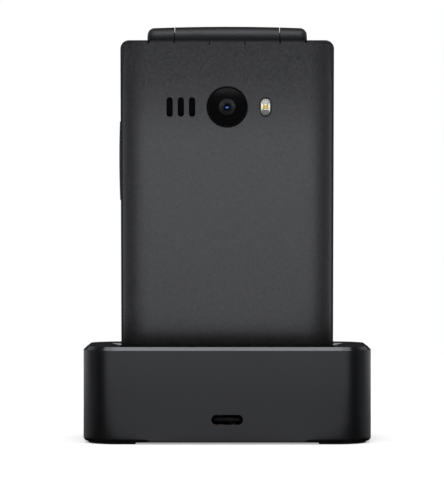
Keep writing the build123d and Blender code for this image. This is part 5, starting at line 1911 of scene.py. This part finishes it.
@dataclass(frozen=True)
class Palette:
    """Every finish of the phone and its dock.  Sizes are in millimetres, in the phone's frame."""

    seat: PhoneSeat
    main_display: Display = Display(0.4, 48.5, 21.8, 29.0)
    outer_display: Display = Display(7.6, 58.0, 14.3, 17.8)
    camera_glass_y: float = -10.4
    camera_z: float = 79.4
    back_y: float = -9.6
    graphite: Colour = (0.0165, 0.0165, 0.0175)
    jet: Colour = (0.005, 0.005, 0.0053)

    def all(self) -> list[Finish]:
        """List every finish.

        Returns:
            The finishes.
        """
        return [*self._paints(), *self._plastics(), *self._prints(), *self._metals(), *self._glasses(),
                *self._boards()]

    def _paints(self) -> list[Finish]:
        """Paints of the phone's shells, and the dock's satin."""
        # handling patches, edge rounding, and edges painted lighter: partly wear, partly a painted
        # sheen
        wear_and_sheen = {"handled": 0.05, "edge_radius": 0.08, "edge_tone": 1.3}
        coarse = {"grain_size": 0.36, "grain_depth": 2.5, "speckle": 3.8, **wear_and_sheen}
        fine = {"grain_size": 0.3, "grain_depth": 0.12, "speckle": 0.5, **wear_and_sheen}
        hinge = self.seat.point(0.0, 0.0, self.seat.axis_z)
        barrel = {"axis_y": hinge.y, "axis_z": hinge.z, "barrel_colour": self.jet,
                  "barrel_roughness": 0.46}
        return [
            BowedPlastic("cover_paint", self.graphite, specular=0.8, **coarse,
                         top=Bow(self._height(70.0), self._height(94.0), 0.17),
                         foot=Bow(self._height(28.0), self._height(14.0), 0.5),
                         side=Bow(19.5 * MM, 27.0 * MM, 0.2)),
            MouldedPlastic("lid_paint", self.graphite, specular=0.55, **coarse),
            HingePlastic("frame_paint", (0.0115, 0.0115, 0.0122), roughness=0.4, specular=0.28, **fine,
                         **barrel),
            HingePlastic("bezel_paint", (0.012, 0.012, 0.0127), roughness=0.4, specular=0.3, **fine,
                         **barrel),
            BevelledPlastic("dock_satin", self.jet, roughness=0.33, grain_size=0.4, grain_depth=0.08,
                            handled=0.05, edge_tone=1.3),
        ]

    def _plastics(self) -> list[Finish]:
        """Bare plastics and rubbers."""
        sharp = {"grain_size": 0.2, "speckle": 0.2, "edge_radius": 0.03}
        return [
            MouldedPlastic("deck_plastic_grain", (0.012, 0.012, 0.013), roughness=0.45, grain_size=0.25,
                           grain_depth=0.3, speckle=0.5),
            MouldedPlastic("rocker_gloss", (0.012, 0.012, 0.013), roughness=0.35, grain_size=0.25,
                           speckle=0.3),
            MouldedPlastic("key_caps", (0.03, 0.03, 0.032), roughness=0.38, grain_depth=0.15,
                           edge_tone=2.0),
            MouldedPlastic("ring_caps", (0.06, 0.06, 0.064), roughness=0.3, edge_tone=2.0),
            MouldedPlastic("dock_underside", (0.008, 0.008, 0.008), grain_size=0.4, grain_depth=0.4,
                           speckle=0.6),
            MouldedPlastic("foot_rubber_grain", (0.009, 0.009, 0.009), roughness=0.75, specular=0.3,
                           grain_size=0.5, grain_depth=0.6, speckle=0.8, edge_tone=1.2),
            MouldedPlastic("bumper_rubber_grain", (0.012, 0.012, 0.012), roughness=0.7, specular=0.3,
                           grain_depth=0.4, speckle=0.6),
            MouldedPlastic("silicone_sheet", (0.35, 0.36, 0.36), specular=0.4, grain_size=0.4,
                           grain_depth=0.3, speckle=0.3),
            MouldedPlastic("black_moulding", (0.01, 0.01, 0.01), specular=0.4, grain_depth=0.3,
                           speckle=0.5),
            MouldedPlastic("funnel_grey", (0.008, 0.008, 0.0085), roughness=0.4, specular=0.3, **sharp),
            MouldedPlastic("baffle_black", (0.002, 0.002, 0.002), specular=0.2, **sharp),
            MouldedPlastic("tongue_plastic", (0.002, 0.0024, 0.003), roughness=0.55, specular=0.12,
                           **sharp),
        ]

    def _prints(self) -> list[Finish]:
        """Inks of the legends and of the camera's mask, and the lamp's phosphor."""
        ink = {"roughness": 0.45, "specular": 0.4, "grain_size": 0.15, "speckle": 0.1,
               "edge_radius": 0.01}
        return [
            MouldedPlastic("mask_ink", (0.001, 0.001, 0.001), roughness=0.25, specular=0.4,
                           grain_size=0.2, grain_depth=0.02, speckle=0.2, handled=0.02,
                           edge_radius=0.02),
            MouldedPlastic("legend_white", (0.62, 0.63, 0.62), **ink),
            MouldedPlastic("legend_green", (0.05, 0.5, 0.1), **ink),
            MouldedPlastic("legend_red", (0.6, 0.04, 0.03), **ink),
            MouldedPlastic("phosphor", (0.9, 0.6, 0.008), roughness=0.6, specular=0.1, grain_size=0.15,
                           grain_depth=0.2, speckle=0.6, edge_radius=0.03),
        ]

    def _metals(self) -> list[Finish]:
        """Metals, each in its colour and roughness."""
        return [
            DrawnMetal("ring_metal", (0.004, 0.004, 0.0042), 0.32),
            DrawnMetal("dark_trim", (0.06, 0.06, 0.062), 0.22, line_depth=0.03),
            DrawnMetal("silvered", (0.88, 0.88, 0.82), 0.3, line_depth=0.02, edge_radius=0.01),
            DrawnMetal("hinge_steel_drawn", (0.55, 0.55, 0.56), 0.28),
            DrawnMetal("screw_steel_drawn", (0.3, 0.3, 0.31), 0.32),
            DrawnMetal("socket_black_nickel", (0.005, 0.005, 0.0055), 0.35),
            DrawnMetal("weight_zinc", (0.45, 0.46, 0.47), 0.45, line_size=0.2),
            DrawnMetal("motor_can", (0.6, 0.6, 0.6), 0.3),
            DrawnMetal("gold", (0.9, 0.56, 0.2), 0.25),
            DrawnMetal("magnet_nickel", (0.55, 0.54, 0.52), 0.25),
        ]

    def _glasses(self) -> list[Finish]:
        """Windows, lenses and display glasses."""
        return [
            InkedWindow("camera_window", self._place(self.camera_glass_y, self.camera_z)),
            ThinClear("clear_plastic"),
            CoatedLens("lens_coating"),
            self._screen("main_screen", self.main_display),
            self._screen("outer_screen", self.outer_display),
        ]

    def _boards(self) -> list[Finish]:
        """Mesh, boards and labels, in two tones."""
        return [
            ThreadMesh("dust_mesh"),
            SpeckledMatter("display_stack", (0.02, 0.02, 0.022), (0.03, 0.03, 0.034), 6.0, 0.3),
            SpeckledMatter("board_mask", (0.008, 0.07, 0.03), (0.015, 0.11, 0.05), 2.5, 0.35),
            SpeckledMatter("battery_label", (0.03, 0.03, 0.032), (0.05, 0.05, 0.054), 9.0, 0.45),
        ]

    def _place(self, y: float, z: float) -> Point:
        """Carry a place in the middle of the phone's width to the row frame, in metres."""
        return tuple(self.seat.point(0.0, y, z))

    def _height(self, z: float) -> float:
        """Height in metres of a place on the phone's back, z millimetres along the phone."""
        return self.seat.point(0.0, self.back_y, z).z

    def _screen(self, name: str, display: Display) -> ScreenGlass:
        """Glass over a display.

        Args:
            name: the finish's name.
            display: the display behind it.

        Returns:
            The finish.
        """
        up = tuple(self.seat.direction(0.0, 0.0, 1.0))
        half = (display.half_width * MM, display.half_height * MM)
        return ScreenGlass(name, self._place(display.glass_y, display.middle_z), up, half)


@dataclass(frozen=True)
class PhoneAndDock:
    """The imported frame, with the finishes of its nodes and the small parts on it.

    finish_of names the finish for each of the record's material slots.  hinge_z is the height of the
    hinge's axis, and the phone's port lies at port_y with its tongue from port_tongue_face to
    port_tongue_end, all in millimetres in the phone's frame.
    """

    frame: Frame
    hinge_z: float = 96.1
    port_y: float = -3.4
    port_tongue_face: float = 0.6
    port_tongue_end: float = 5.0
    finish_of: ClassVar[dict[str, str]] = {
        "battery_wrap": "battery_label",
        "bezel_plastic": "bezel_paint",
        "bumper_rubber": "bumper_rubber_grain",
        "call_key_plastic": "key_caps",
        "camera_body": "funnel_grey",
        "camera_glass": "camera_window",
        "camera_trim": "ring_metal",
        "circuit_board": "board_mask",
        "cover_plastic": "cover_paint",
        "deck_plastic": "deck_plastic_grain",
        "display_glass": "main_screen",
        "display_panel": "display_stack",
        "dock_base_plastic": "dock_underside",
        "dock_plastic": "dock_satin",
        "end_key_plastic": "key_caps",
        "flash_led": "black_moulding",
        "flash_lens": "clear_plastic",
        "foot_rubber": "foot_rubber_grain",
        "frame_plastic": "frame_paint",
        "gold_contacts": "gold",
        "hinge_steel": "hinge_steel_drawn",
        "key_plastic": "key_caps",
        "lid_plastic": "lid_paint",
        "magnet_metal": "magnet_nickel",
        "mesh_cloth": "dust_mesh",
        "motor_steel": "motor_can",
        "nav_plastic": "ring_caps",
        "outer_window_glass": "outer_screen",
        "pin_block_plastic": "black_moulding",
        "rocker_plastic": "rocker_gloss",
        "screw_steel": "screw_steel_drawn",
        "silicone": "silicone_sheet",
        "socket_steel": "socket_black_nickel",
        "socket_tongue": "tongue_plastic",
        "speaker_case": "black_moulding",
        "weight_steel": "weight_zinc",
    }

    def build(self) -> None:
        """Dress every carried-over node and make every small part."""
        seat = PhoneSeat.from_frame(self.frame, self.hinge_z)
        effects = EffectGroups()
        shop = Workshop({finish.name: finish.build(effects) for finish in Palette(seat).all()})
        for part in self.frame["record"]["subparts"]:
            shop.dress(self.frame, part["node"], self.finish_of[part["material_slot"]])
        CoverLip(seat).build(shop)
        HingeWashers(seat).build(shop)
        BackCamera(seat).build(shop)
        Flash(seat).build(shop)
        Keypad(seat).build(shop)
        self._dock_port().build(shop)
        self._phone_port(seat).build(shop)

    def _dock_port(self) -> Socket:
        """The contacts in the dock's receptacle."""
        low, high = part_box("dock_usb_shell")
        tongue_low, tongue_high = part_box("dock_usb_tongue")
        middle = (low + high) / 2
        place = Matrix.Translation((middle.x, 0.0, middle.z)) @ Matrix.Scale(MM, 4)
        return Socket("dock_port", "dock", place, low.y / MM, tongue_low.y / MM, tongue_high.y / MM)

    def _phone_port(self, seat: PhoneSeat) -> Socket:
        """The contacts in the phone's receptacle, whose depth runs up the phone from its bottom end."""
        upright = Matrix(((1, 0, 0, 0), (0, 0, 1, self.port_y), (0, 1, 0, 0), (0, 0, 0, 1)))
        return Socket("phone_port", "phone_base", seat.matrix @ upright, 0.0, self.port_tongue_face,
                      self.port_tongue_end)


def corners(limits: tuple[Vector, Vector]) -> list[list[float]]:
    """A box's two corners as plain lists of numbers."""
    return [list(corner) for corner in limits]


def main() -> None:
    """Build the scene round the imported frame."""
    logging.basicConfig(level=logging.INFO, format="%(message)s")
    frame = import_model()
    StillCamera().build()
    PhoneAndDock(frame).build()
    Studio().build()


if __name__ == "__main__":
    main()
